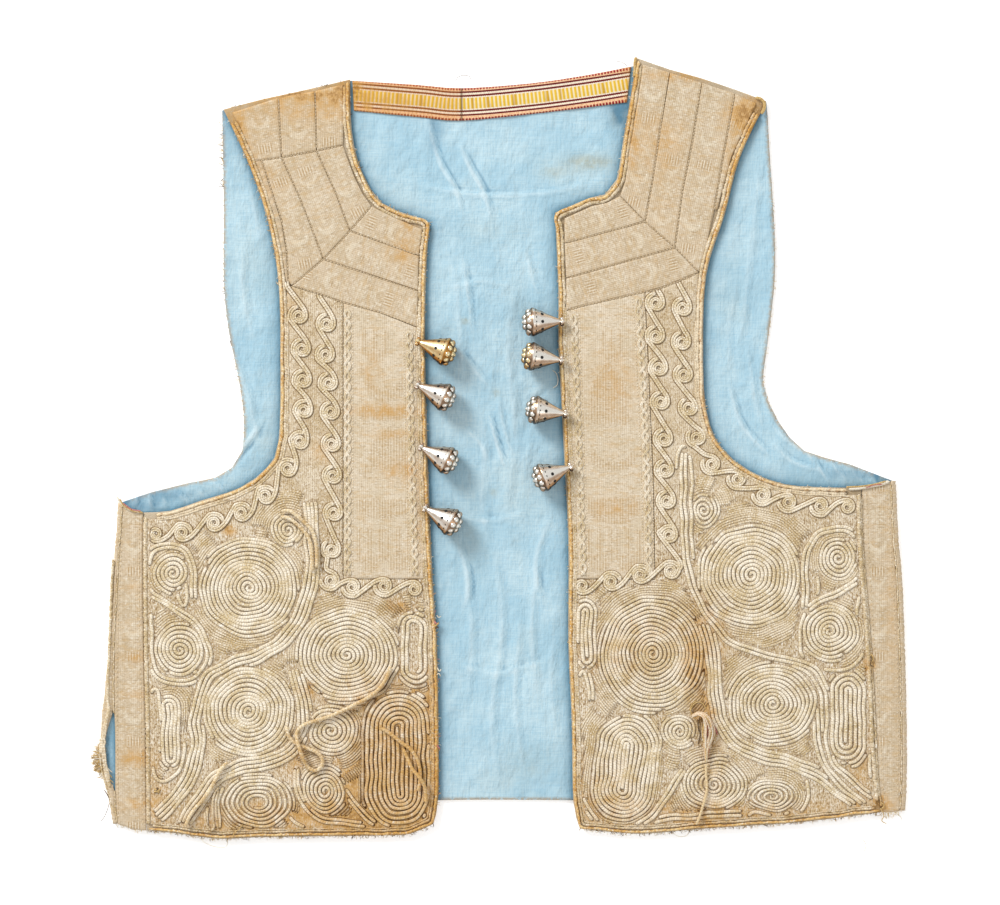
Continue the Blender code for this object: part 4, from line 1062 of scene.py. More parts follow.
LINING_STEP = 1.9
HIDDEN_STEP = 14.0
CLOTH_STEP = 6.0
LINING_FOLDS = rows_of(Fold, (
    (((-47, 198), (-39, 171), (-30, 156), (-26, 140)), 1.5, 1),
    (((-27, 182), (-20, 166), (-14, 156), (-8, 138)), 1.6, 1.1),
    (((-60, 160), (-20, 152), (24, 153), (58, 160)), 1.6, 0.6),
    (((-26, 116), (-22, 90), (-20, 66)), 1.6, 0.9),
    (((-38, 128), (-30, 100), (-27, 60), (-30, 20)), 2.8, 0.5), (((-10, 22), (-6, 6), (0, -12)), 1.4, 1.2),
    (((-4, 30), (-1, 14), (4, -4)), 1.4, 0.7), (((-16, 30), (-12, 0), (-14, -30), (-10, -60)), 2.4, 0.5),
    (((12, 120), (17, 100), (20, 92)), 1.6, 0.7), (((6, 100), (2, 60), (6, 10), (0, -40)), 2.6, 0.5),
    (((-24, -70), (-20, -110), (-22, -150)), 2, 0.6), (((22, -60), (16, -105), (20, -160)), 2, 0.6),
    (((-6, -60), (-2, -110), (-8, -160), (-4, -205)), 2.2, 0.6),
    (((30, -100), (28, -140), (31, -180)), 2, 0.5), (((-34, -40), (-10, -44), (18, -38)), 1.6, 0.5),
    (((-30, -130), (-4, -136), (26, -128)), 1.6, 0.4), (((-158, 120), (-157, 90), (-150, 62)), 2, 0.6),
    (((-164, 60), (-154, 30), (-148, -2)), 1.8, 0.6), (((148, 130), (145, 96), (141, 60)), 2, 0.5),
    (((134, 40), (142, 14), (160, -6)), 1.6, 0.9), (((146, 60), (150, 30), (156, 8)), 1.7, 0.6),
    (((158, 16), (170, 4), (186, -6)), 1.4, 0.8), (((160, 4), (172, -8), (190, -14)), 1.4, 0.8),
    (((-222, -22), (-221, -30), (-222, -37)), 1, 1), (((-214, -26), (-213, -33), (-212, -39)), 1, 1.1),
    (((-32, 96), (-14, 100), (8, 96)), 1.6, 0.5), (((-30, 60), (-16, 44), (-8, 34)), 1.6, 0.7),
    (((-28, 14), (-16, 4), (-10, -8)), 1.6, 0.6), (((26, 40), (16, 30), (10, 12)), 1.8, 0.6),
    (((-30, -52), (-22, -80), (-26, -100)), 1.8, 0.7), (((28, -40), (18, -70), (24, -96)), 1.8, 0.7),
    (((10, -100), (6, -150), (12, -200)), 1.8, 0.6), (((-154, 160), (-150, 140), (-146, 120)), 1.8, 0.6),
    (((154, 170), (150, 140), (150, 110)), 2, 0.5), (((140, 100), (134, 70), (136, 44)), 2, 0.5),
    (((-145, 20), (-152, 6), (-164, -4)), 1.6, 0.7), (((-150, 10), (-162, -6), (-178, -14)), 1.4, 0.8),
    (((-206, -29), (-204, -34), (-204, -38)), 1.1, 0.7),
    (((-200, -26), (-192, -31), (-188, -36)), 1.1, 0.8),
    (((-176, -20), (-168, -27), (-164, -31)), 1.1, 0.8),
    (((-186, -24), (-180, -30), (-176, -34)), 1.1, 0.8), (((182, -4), (190, -14), (196, -22)), 1.2, 0.9),
    (((194, -7), (200, -14), (206, -21)), 1.1, 0.8), (((208, -12), (212, -18), (218, -22)), 1.1, 0.8),
))
# How far the painted shadow beside the fronts and side bands reaches, in millimetres.
SHADOW_REACH = 3.2
LINING_RIM = 1.9
FINE_DEPTH = 5
COARSE_DEPTH = 9
LINING_DRIFT = Drift(11, 34.0)
PUCKER_DRIFT = Drift(17, 9.0)
LINING_WAVER = 0.2
PUCKER_WAVER = 0.1
LINING_LIMITS = (-0.3, 0.4)
COVER_EDGE = 3.0
COVERED_HEIGHT = 0.1


def lining_relief(points):
    covered = np.exp(-np.clip(COVER.distance(points) / COVER_EDGE, 0, 20))
    swell = LINING_WAVER * LINING_DRIFT.at(points) + PUCKER_WAVER * PUCKER_DRIFT.at(points)
    height = folds_at(points, LINING_FOLDS) + np.clip(swell, *LINING_LIMITS)
    return height * (1 - covered) + np.minimum(height, COVERED_HEIGHT) * covered


class Cover:
    """The cloth under the two fronts and their side bands, where nothing of the lining shows."""

    def __init__(self, nodes):
        self.loops = [border_of(node) for node in nodes]

    def distance(self, points):
        """How far a point is outside the cover, and 0 under it."""
        return np.minimum.reduce([np.where(inside(points, loop), 0.0, border_distance(points, loop))
                                  for loop in self.loops])

    def depth(self, points):
        """How far a point is under the cover, and 0 outside it."""
        return np.maximum.reduce([np.where(inside(points, loop), border_distance(points, loop), 0.0)
                                  for loop in self.loops])


def make_back():
    part = cloth_part(border_of("back"), 0.0, BACK_TOP, HIDDEN_STEP, Upright())
    laid_cloth("back_cloth", "back", part, Upright(), BASE_CLOTH)

    loop = border_of("back_lining")
    fine = grid_points(loop, LINING_STEP, RIM + CLEAR_SHARE * LINING_STEP)
    fine = fine[COVER.depth(fine) < FINE_DEPTH]
    coarse = grid_points(loop, HIDDEN_STEP, HIDDEN_STEP / 2)
    coarse = coarse[COVER.depth(coarse) > COARSE_DEPTH]
    part = cloth_part(loop, LINING_BASE, LINING_TOP, LINING_STEP, Upright(), lining_relief,
                      np.concatenate([fine, coarse]))
    flat = part.points[:, :2]
    # Painted shadow that fades out from the fronts and side bands.
    shelter = np.exp(-COVER.distance(flat) / SHADOW_REACH)
    marks = {"lining_stain": stain_at(flat, LINING_STAINS),
             "rim": np.clip(LINING_RIM - border_distance(flat, loop), 0, 1),
             "crease": folds_at(flat, LINING_FOLDS),
             "shelter": np.maximum(shelter, stain_at(flat, LINING_SHADES))}
    laid_cloth("lining_cloth", "back_lining", part, Upright(), BLUE_COTTON, marks)


NECK_COURSE = ((-92, 211.3), (-51, 208), (-26, 206), (16, 209.5), (50, 214), (75, 218))
NECK_STEP = 0.75
NECK_SEAM = -26.0
NECK_RIB = 2.4
NECK_MIDDLE = 3.9
NECK_WIDTH = 9.0


def neck_relief(course):
    def relief(points):
        across, along = course.places(points).T
        middle = np.clip((NECK_MIDDLE - np.abs(across)) / 0.5, 0, 1)
        ribs = 0.10 * np.sin(2 * math.pi * along / NECK_RIB) * middle
        tape = 0.12 * np.cos(2 * math.pi * across / NECK_WIDTH)
        seam = -0.3 * np.exp(-((points[:, 0] - NECK_SEAM) / 0.6) ** 2)
        return ribs + tape + seam
    return relief


def make_neck_ribbon():
    course = Course(NECK_COURSE)
    part = cloth_part(border_of("neck_ribbon"), FRONT_BASE, NECK_TOP, NECK_STEP, course, neck_relief(course))
    beyond = NECK_SEAM - part.points[:, 0]
    marks = {"seam": np.exp(-(beyond / 0.7) ** 2), "toned": np.clip(beyond / 3.0, 0, 1)}
    laid_cloth("neck_ribbon_look", "neck_ribbon", part, course, STRIPED_RIBBON,
               marks)


# ---------------------------------------------------------------- fronts, side panels and folds

LEFT_FOLD = rows_of(FoldRow, (
    (-33, -229.5, -229.8, -232.5), (-50, -230.5, -230.8, -233.5), (-68, -232, -232.3, -235),
    (-92, -233.2, -233.5, -236.3), (-116, -234.6, -234.9, -238), (-146, -235, -235.3, -240.5),
    (-158, -234.6, -235.4, -242), (-168, -234.2, -238.4, -242.7), (-178, -234, -240.4, -243),
    (-190, -234, -239.6, -242.4), (-199, -234, -237.4, -241.2), (-206, -234, -234.6, -239.5),
    (-216, -233.8, -234.1, -237.2), (-226, -232.8, -233.1, -235.8),
))
RIGHT_FOLD = rows_of(FoldRow, (
    (-20, 231.4, 231.7, 234.8), (-32, 232, 232.3, 235.4), (-56, 233.2, 233.5, 236.6),
    (-80, 235.2, 235.5, 238.8), (-116, 236.6, 236.9, 240.2), (-152, 237.6, 237.9, 241.2),
    (-188, 238, 238.3, 241.6), (-206, 237.6, 237.9, 241.2), (-218, 237, 237.3, 240.6),
))
FOLD_RADIUS = 2.0
FOLD_WALL = 1.2
FOLD_LIP = 8.0
FOLD_ARC = 8
FOLD_STEP = 1.6
FOLD_WAVER = 0.22
FOLD_SPACING = 0.8
SIDE_LEVELS = (-232, -30)
SIDE_PHASE = 5
FOLD_DRIFT = Drift(23, 5.0)


def fold_part(rows):
    """The strip that turns round the side to the back: its sections one after the other, both ends closed."""
    rows = smooth(rows, FOLD_STEP)
    inward = 1 if rows[0][3] < 0 else -1
    arc = math.pi * (0.5 + np.arange(FOLD_ARC + 1) / FOLD_ARC)
    ring = np.stack([np.cos(arc), np.sin(arc)], axis=1)
    sections = []
    for y, _, edge, fold in rows:
        width = (edge - fold) * inward
        section = [(width, FRONT_TOP - 0.45), (width - 0.4, FRONT_TOP), *(FOLD_RADIUS + FOLD_RADIUS * ring),
                   (FOLD_LIP, 0.0), (FOLD_LIP, FOLD_WALL),
                   *(FOLD_RADIUS + (FOLD_RADIUS - FOLD_WALL) * ring[::-1]), (width, FRONT_BASE)]
        sections.append([(fold + inward * across, y, height) for across, height in section])
    points = np.array(sections)
    count, sides, _ = points.shape
    flat = points.reshape(-1, 3)
    flat[:, 0] += FOLD_WAVER * FOLD_DRIFT.at(flat[:, [1, 1]])
    faces = tube_faces(count, sides)
    if inward < 0:
        faces = [group[:, ::-1] for group in faces]
    places = np.stack([np.tile(np.arange(sides) * FOLD_SPACING, count), flat[:, 1]], axis=1)
    return placed_part(flat, faces, places)


def make_front(side):
    node = f"front_{side}"
    part = cloth_part(border_of(node), FRONT_BASE, FRONT_TOP, CLOTH_STEP, Upright())
    laid_cloth(f"front_cloth_{side}", node, part, Upright(), BASE_CLOTH)


def make_side(side, rows):
    loop = border_of(f"side_band_{side}")
    middle = loop[:, 0].mean()
    course = Course([(middle, level) for level in SIDE_LEVELS])
    part = cloth_part(loop, FRONT_BASE, FRONT_TOP, RIBBON_STEP, course, ribbon_relief(course, SIDE_PHASE))
    laid_cloth(f"side_band_cloth_{side}", f"side_band_{side}", part, course, METAL_RIBBON,
               ribbon_marks(part, course, SIDE_PHASE))
    piece = mesh_piece(f"side_fold_{side}", [fold_part(rows)], [METAL_RIBBON],
                       f"side_edge_{side}")


# ---------------------------------------------------------------- woven ribbons

RIBBON_STEP = 1.0
REPEAT = 17.0
RIBBONS = rows_of(Ribbon, (
    ("strap_top_outer_left", ((-142, 170), (-149, 208)), 0),
    ("strap_top_middle_left", ((-123.5, 174), (-125, 214)), 9),
    ("strap_top_inner_left", ((-105, 178), (-105.5, 218)), 4),
    ("strap_armhole_left", ((-132.5, 99), (-134, 120), (-139.5, 140), (-148, 172)), 0),
    ("strap_outer_left", ((-118.5, 104), (-124, 128), (-132, 152), (-140, 174)), 3),
    ("strap_middle_left", ((-101, 121), (-112, 144), (-123.5, 176)), 12),
    ("strap_inner_left", ((-86.5, 138), (-95, 156), (-105, 180)), 6),
    ("chest_upper_left", ((-86.5, 137), (-50, 123)), 3),
    ("chest_middle_left", ((-101, 121), (-52, 104)), 14), ("chest_lower_left", ((-120, 105), (-52, 83)), 8),
    ("strap_neck_right", ((76, 143), (80, 160), (85, 190), (91, 228)), 5),
    ("strap_inner_right", ((93, 128), (97.5, 157), (103, 187), (109, 222)), 15),
    ("strap_middle_right", ((109, 112), (115, 148), (121.5, 178), (128, 216)), 2),
    ("strap_outer_right", ((126, 142), (133, 173), (144, 209)), 7),
    ("chest_upper_right", ((76, 143), (35, 130)), 4), ("chest_middle_right", ((93, 128), (36, 112)), 10),
    ("chest_lower_right", ((109, 112), (36, 92)), 1),
))
NARROW_RIBBONS = {"strap_armhole_left": "strap_outer_left"}


def soft(value, width=0.7):
    """1 where a value is well above 0, 0 where it is well below, with a soft step between."""
    return np.clip(value / width + 0.5, 0, 1)


def soft_band(value, low, high):
    """1 between two limits, 0 on either side of them, with soft steps."""
    return soft(value - low) * soft(high - value)


def hand_marks(across, up):
    """A group of raised bars over a small bowl."""
    group = soft(4.6 - np.abs(across), 1.0) * soft(2.6 - np.abs(up - 1.0), 1.2)
    bowl = soft_band(np.hypot(across, up + 2.6), 3.9, 5.4) * soft(-2.2 - up)
    return bowl, group


def moon_marks(across, up):
    """A crescent with a dot between its horns."""
    outer = soft(5.6 - np.hypot(across, up))
    cut = soft(np.hypot(across, up - 2.6) - 4.3)
    star = soft(1.5 - np.hypot(across, up - 3.0))
    return np.maximum(outer * cut, star), np.zeros(len(across))


def star_marks(across, up):
    """A ring of eight rays round a dot."""
    size = np.hypot(across, up)
    rays = soft(np.cos(8 * np.arctan2(up, across)), 0.9) * soft_band(size, 1.6, 5.2)
    return np.maximum(rays, soft(1.1 - size)), np.zeros(len(across))


FIGURES = (hand_marks, moon_marks, star_marks)
# Out from a ribbon's middle, its zigzag borders and the small diamonds between its figures.
BORDER_BAND = (6.4, 8.4)
ZIGZAG_PITCH = 2.6
DIAMOND_BAND = (1.2, 2.6)


def ribbon_figures(places, phase):
    """How strongly the ribbon's figures and hatched groups show at points across and along it."""
    across, along = places.T
    along = along + phase
    index = np.floor(along / REPEAT).astype(int)
    up = along - (index + 0.5) * REPEAT
    figure = np.zeros(len(places))
    hatch = np.zeros(len(places))
    for kind, marks in enumerate(FIGURES):
        shape, group = marks(across, up)
        chosen = index % len(FIGURES) == kind
        figure = np.where(chosen, shape, figure)
        hatch = np.where(chosen, group, hatch)
    zigzag = np.abs((along / ZIGZAG_PITCH) % 2 - 1)
    border = soft_band(np.abs(across), *BORDER_BAND) * soft(zigzag - 0.5, 0.5)
    diamond = soft_band(np.abs(np.abs(up) - REPEAT / 2) + np.abs(across), *DIAMOND_BAND)
    return np.maximum.reduce([figure, 0.7 * border, 0.8 * diamond]), hatch


RIBBON_DRIFT = Drift(31, 12.0)
FIGURE_RISE = 0.07
HATCH_RISE = 0.05
RIBBON_WAVER = 0.05
CREASE_RISE = 0.22


def ribbon_relief(course, phase):
    def relief(points):
        figure, hatch = ribbon_figures(course.places(points), phase)
        return FIGURE_RISE * figure + HATCH_RISE * hatch + RIBBON_WAVER * RIBBON_DRIFT.at(points)
    return relief


def creases(course, points):
    """Small puckers across a narrow ribbon, bent like a braid's strands."""
    across, along = course.places(points).T
    return np.sin(along * 0.95 + 0.5 * np.abs(across) + 2.2 * RIBBON_DRIFT.at(points))


def creased_relief(course):
    def relief(points):
        return CREASE_RISE * creases(course, points)
    return relief


# Painted shade in the troughs of the narrow ribbon's puckers.
def creased_marks(part, course):
    return {"shade": 0.5 - 0.5 * creases(course, part.points[:, :2])}


def ribbon_marks(part, course, phase):
    figure, hatch = ribbon_figures(course.places(part.points[:, :2]), phase)
    # The shade mark on these ribbons is painted shade.
    return {"figure": figure, "hatch": hatch, "shade": stain_at(part.points[:, :2], SHADED)}


def make_ribbons():
    made = {}
    for row in RIBBONS:
        loop = border_of(row.name)
        course = Course(row.course)
        narrow = row.name in NARROW_RIBBONS
        relief = creased_relief(course) if narrow else ribbon_relief(course, row.phase)
        part = cloth_part(loop, TRIM_BASE, RIBBON_TOP, RIBBON_STEP, course, relief)
        marks = creased_marks(part, course) if narrow else ribbon_marks(part, course, row.phase)
        piece = mesh_piece(row.name + "_look", [part], [METAL_RIBBON], row.name, marks)
        made[row.name] = (piece, loop, course)
    for name, (piece, loop, course) in made.items():
        if name not in NARROW_RIBBONS:
            narrow = [made[other][0] for other, wide in NARROW_RIBBONS.items() if wide == name]
            declare_sheet(loop, course)


# ---------------------------------------------------------------- plastrons

PLASTRON_STEP = 0.95
PLASTRON_RISE = 0.08
PLASTRON_LEVELS = (-80, 90)
LEFT_SHAPES = rows_of(Shape, (
    ("hand", -78, 62, 8, 9), ("moon", -72, 38, 12, 11), ("bowl", -72, 22, 17, 6),
    ("shield", -70, 0, 12, 13), ("cross", -84, -14, 4, 4), ("cross", -60, -14, 4, 4),
    ("bowl", -73, -34, 17, 9), ("hand", -81, -60, 8, 12), ("hand", -64, -60, 8, 12),
))
RIGHT_SHAPES = rows_of(Shape, (
    ("hand", 64, 62, 6, 9), ("shield", 62, 33, 12, 19), ("cross", 47, 18, 4, 4), ("cross", 73, 18, 4, 4),
    ("moon", 65, -6, 14, 8), ("bowl", 65, -34, 16, 12), ("hand", 57, -60, 8, 12), ("hand", 74, -60, 8, 12),
))


def shape_mark(shape, points):
    """How strongly one figure of a plastron shows at each point."""
    across = (points[:, 0] - shape.x) / shape.wide
    up = (points[:, 1] - shape.y) / shape.high
    size = np.hypot(across, up)
    if shape.kind == "moon":
        return soft(1 - size, 0.1) * soft(np.hypot(across, up - 0.45) - 0.75, 0.1)
    if shape.kind == "bowl":
        return soft(1 - size, 0.1) * soft(0.3 - up, 0.1)
    if shape.kind == "shield":
        point = 1 - np.clip(up, 0, 1) ** 1.5
        return soft(np.minimum(point, 1) * 0.95 - np.abs(across), 0.12) * soft(1 - np.abs(up), 0.08)
    if shape.kind == "cross":
        arms = np.minimum(np.abs(across), np.abs(up))
        return soft(0.3 - arms, 0.25) * soft(0.95 - size, 0.2)
    fingers = soft(np.cos(across * 7.6) - 0.05, 0.5) * soft(1 - np.abs(across), 0.1)
    palm = soft(0.75 - np.hypot(across, (up + 0.75) * 1.6), 0.15)
    return np.maximum(fingers * soft(0.95 - np.abs(up), 0.1) * soft(up + 0.7, 0.1), palm)


def plastron_marks(points, shapes):
    return np.maximum.reduce([shape_mark(shape, points) for shape in shapes])


BRAIDS = {
    "left": (((-94.6, 83), (-94.6, 2), (-94.6, -77)), ((-57.5, 70), (-56.5, 16), (-54, -77))),
    "right": (((41.2, 80), (44, 4), (47, -77)), ((79.8, 90), (82.1, 52), (85.1, -20), (86.2, -77))),
}
BRAID_PERIOD = 12.4
BRAID_REACH = 1.55
BRAID_STRAND = 0.4
BRAID_STEP = 0.8
BRAID_SECTION = round_section(1.08 * BRAID_STRAND, 6)
BRAID_TAPER = 1.5
BRAID_BED = 0.38
BRAID_RISE = 0.16
BRAID_RAIL = 3.3
RAIL_SECTION = round_section(0.26, 5)
RAIL_STITCH = 1.1
RAIL_GAP = 0.7


def braid_parts(line):
    """Two doubled strands that wind across each other in a flat chain, between two rows of stitches."""
    track = at_height(smooth(line, BRAID_STEP), 0.0)
    marks = np.arange(len(track)) * BRAID_STEP
    parts = []
    for crossing in (0.0, math.pi):
        for offset in (-BRAID_STRAND, BRAID_STRAND):
            turn = 2 * math.pi * marks / BRAID_PERIOD + crossing
            strand = track.copy()
            strand[:, :2] += normals(track) * (BRAID_REACH * np.sin(turn) + offset)[:, None]
            strand[:, 2] = RIBBON_TOP + BRAID_BED + BRAID_RISE * np.cos(2 * turn + crossing)
            parts.append(swept(strand, BRAID_SECTION, taper=BRAID_TAPER))
    return parts


def make_plastron(side, shapes):
    node = f"plastron_{side}"
    loop = border_of(node)
    middle = loop[:, 0].mean()
    course = Course([(middle, level) for level in PLASTRON_LEVELS])
    part = cloth_part(loop, TRIM_BASE, RIBBON_TOP, PLASTRON_STEP, course,
                      lambda points: PLASTRON_RISE * plastron_marks(points, shapes))
    shade = plastron_marks(part.points, shapes)
    laid_cloth(f"plastron_cloth_{side}", node, part, course, PLASTRON_RIBBON,
               {"shade": shade, "hatch": 0.5 * shade})
    parts = [part for line in BRAIDS[side] for part in braid_parts(line)]
    for line in BRAIDS[side]:
        for offset in (-BRAID_RAIL, BRAID_RAIL):
            rail = beside(smooth(line, COURSE_STEP), offset)
            parts.extend(stitch_parts(rail, RIBBON_TOP, RAIL_STITCH, RAIL_GAP, RAIL_SECTION))
    mesh_piece(f"chain_braids_{side}", parts, [BRAID_THREAD])


# ---------------------------------------------------------------- couched cord

CORD_PITCH = 2.35
CORD_RISE = 1.05
CORD_SINK = 0.12
EYE_TURN = 0.62
TURN_POINTS = 72
OVERLAP_POINTS = 5
EXTRA_TURNS = 1
EXTRA_RISE = 0.85
MEANDER_TURNS = 9
MEANDER_WIDTH = 1.4
MEANDER_RISE = 0.5
THINNEST_CORD = 1.75
WIDEST_CORD = 2.45
COUCHED_STEP = 1.4
COUCHED_TAPER = 1.6
CORD_SWELL = 0.06
GROUND_STEP = 3.0
GROUND_DRIFT = Drift(53, 6.0)
CALM_LEVEL = -35.0
CALM_WIDTH = 40.0
SCROLL_WIDTH = 1.55
SCROLL_THIN = 1.15
SCROLL_RISE = 1.1
# A dark strand just outside each scroll cord is its painted shadow: how far out it lies and its section.
SHADOW_LINE_REACH = 1.02
SHADOW_LINE_SECTION = np.array([(0.3, 0.0), (0.0, 0.34), (-0.3, 0.0)])
SCROLL_RADIUS = 4.1
SCROLL_HUG = 5.6
SCROLL_SHIFT = 0.7
SCROLL_EYE = 0.7
SCROLL_TURNS = 1.5
SCROLL_MARGIN = 4.4
SCROLL_STEP = 0.9
LINK_STEP = 0.6
SCROLL_START = 3.0
SCROLL_POINTS = 48
SCROLL_ASIDE = 0.46
# The way a cord pair leaves the scroll before: angles round it, in degrees.
HUG_ANGLES = (95, 70, 45, 20, -5, -30)
# Where it comes to the next scroll: to the left of that scroll's eye, and short of it.
COMING = ((1.0, 7.6), (3.5, 3.2))
BORDER_ROOM = 0.62
FEWEST_POINTS = 4
WAVER_REACH = 0.42
TIGHT = 0.99
LEAST_STRETCH = 4.0
CLOSEST = 0.8
COUCHED_OUTLINE = np.array([(0.55, 0.0), (0.47, 0.35), (0.4, 0.72), (0.24, 0.94), (0.0, 1.0),
                            (-0.24, 0.94), (-0.4, 0.72), (-0.47, 0.35), (-0.55, 0.0)])
CORD_DRIFTS = (Drift(41, 17.0), Drift(43, 17.0), Drift(47, 7.0))

LEFT_COILS = rows_of(Coil, (
    (-153.6, -84.3, 30, 29.1, 0, 0, 13, 150, 1), (-94.8, -124.5, 31.2, 28.2, 0, 0, 12.5, 60, -1),
    (-154.2, -158.1, 27.3, 27.3, 0, -30, 11.5, 70, 1), (-148.2, -212.7, 21.6, 16.2, 0, 0, 8, 120, 1, 1.7),
    (-108, -206.1, 13.8, 15.6, 0, 20, 6.5, 200, -1), (-104.4, -170.1, 15.6, 14.4, 0, 0, 6, 150, 1),
    (-63.6, -187.5, 22.2, 22.2, 20.4, 0, 8.5, 250, 1), (-54, -120.3, 11.1, 11.1, 12, 0, 4, 90, 1, 0.9),
    (-199.2, -75.3, 10.8, 10.8, 0, 0, 4.5, 100, 1), (-195, -121.5, 15, 16.2, 0, 0, 6.5, 60, -1),
    (-201, -170.7, 6, 6, 15.6, 0, 2.5, 90, 1), (-130.2, -49.5, 9.9, 10.2, 0, 0, 4.5, 120, -1),
))
RIGHT_COILS = rows_of(Coil, (
    (147.6, -76.5, 31.2, 30.6, 0, 0, 13, 140, -1), (88.8, -123.9, 32.1, 34.8, 0, 0, 14.5, 100, 1),
    (160.8, -153.9, 28.2, 25.2, 0, 0, 11.5, 60, 1), (72, -191.7, 18.9, 18.9, 13.2, -8, 8, 110, 1),
    (104.4, -170.1, 9.9, 9.6, 0, 0, 4.5, 150, 1), (125.4, -201.9, 19.8, 16.2, 0, 0, 8, 60, -1),
    (160.2, -209.1, 15.6, 9, 0, 0, 5, 200, 1), (199.8, -66.3, 10.8, 12.3, 0, 0, 5, 60, 1),
    (195, -110.1, 17.4, 16.8, 0, 0, 7.5, 120, 1), (205.2, -161.7, 12.3, 12.3, 16.2, 0, 4.5, 90, -1),
    (48.3, -112.5, 6.6, 6.6, 13.8, 0, 2.5, 90, 1), (119.4, -37.5, 7.8, 10.2, 0, 0, 4, 60, 1),
))
LEFT_SCROLLS = (
    ((-124.2, 78.9), (-122.4, 59.1), (-121.8, 40.5), (-121.2, 22.5), (-123.6, 3.9), (-130.8, -12.3),
     (-144, -28.5), (-158.4, -38.7), (-174.6, -44.7), (-193.8, -50.7), (-209.4, -51.3)),
    ((-107.4, 74.1), (-108, 55.5), (-106.2, 38.7), (-105, 21.3), (-104.4, 2.1), (-103.8, -17.1),
     (-103.2, -39.3), (-104.4, -61.5), (-105, -80.1), (-91.8, -84.3), (-72.6, -83.7), (-54.6, -85.5)),
)
RIGHT_SCROLLS = (
    ((106.2, 83.7), (105.6, 63.3), (106.8, 43.5), (109.8, 23.7), (114.6, 5.7), (123.6, -10.5),
     (139.2, -19.5), (154.2, -29.1), (169.8, -33.3), (189, -35.7), (205.2, -36.3)),
    ((90, 86.7), (90, 66.9), (91.8, 47.7), (93, 27.3), (94.8, 5.1), (95.4, -13.5), (96.6, -32.1),
     (97.8, -52.5), (99, -73.5), (81, -75.9), (63.6, -80.1), (46.2, -82.5)),
)
LEFT_RUNS = rows_of(Run, (
    (4, ((-117, -32.1), (-115.8, -55.5), (-115.8, -76.5), (-120.6, -95.1), (-129.6, -111.9),
     (-144.6, -123.3), (-161.4, -129.3), (-175.2, -136.5), (-181.8, -148.5), (-184.8, -164.7),
     (-184.8, -182.7), (-190.2, -199.5), (-199.2, -211.5), (-208.8, -222.3))),
    (1, ((-121.2, -39.9), (-121.2, -33.3), (-118.2, -29.7), (-115.2, -33.3), (-114.6, -42.3))),
    (2, ((-187.2, -91.5), (-186.6, -76.5), (-189.6, -65.1), (-196.2, -59.7), (-205.2, -59.1),
     (-212.4, -62.7), (-214.8, -71.7), (-214.8, -81.3), (-211.2, -88.5), (-204, -92.7), (-194.4, -98.7),
     (-186, -105.3), (-179.4, -115.5), (-177.6, -126.3), (-183, -137.1), (-193.2, -140.7),
     (-204.6, -139.5), (-211.2, -132.3), (-213, -118.5), (-213, -98.7))),
    (1, ((-196.8, -85.5), (-195, -91.5), (-192.6, -95.1), (-190.8, -89.7), (-191.4, -79.5))),
    (1, ((-192.6, -175.5), (-192.6, -186.3), (-196.2, -195.3), (-204, -200.1), (-210.6, -195.9),
     (-212.4, -182.7), (-212.4, -151.5), (-210, -144.9), (-207, -150.9), (-207, -182.7))),
    (4, ((-126.6, -132.3), (-122.4, -145.5), (-120, -158.7), (-121.8, -172.5), (-129.6, -182.7),
     (-142.2, -188.7), (-157.2, -191.1), (-169.8, -195.9), (-179.4, -205.5), (-187.8, -218.7),
     (-194.4, -228.3))),
    (2, ((-42.6, -146.7), (-41.4, -175.5), (-42, -199.5), (-46.2, -216.3), (-55.8, -225.9),
     (-67.2, -228.9), (-78.6, -225.3), (-89.4, -215.1), (-96.6, -204.3), (-102.6, -194.7))),
    (2, ((-125.4, -192.3), (-124.8, -202.5), (-121.2, -212.7), (-114.6, -220.5), (-105, -224.1),
     (-87, -225.3), (-75, -228.3))),
    (1, ((-72.6, -227.1), (-81, -230.7), (-96, -230.7), (-114, -229.5), (-125.4, -224.7),
     (-131.4, -218.7))), (2, ((-169.8, -203.1), (-172.8, -211.5), (-172.8, -223.5), (-171, -231.9))),
    (1, ((-178.2, -215.1), (-179.4, -222.3), (-178.8, -230.1))),
    (1, ((-211.8, -223.5), (-201, -228.3), (-189, -230.1), (-180, -230.7))),
))
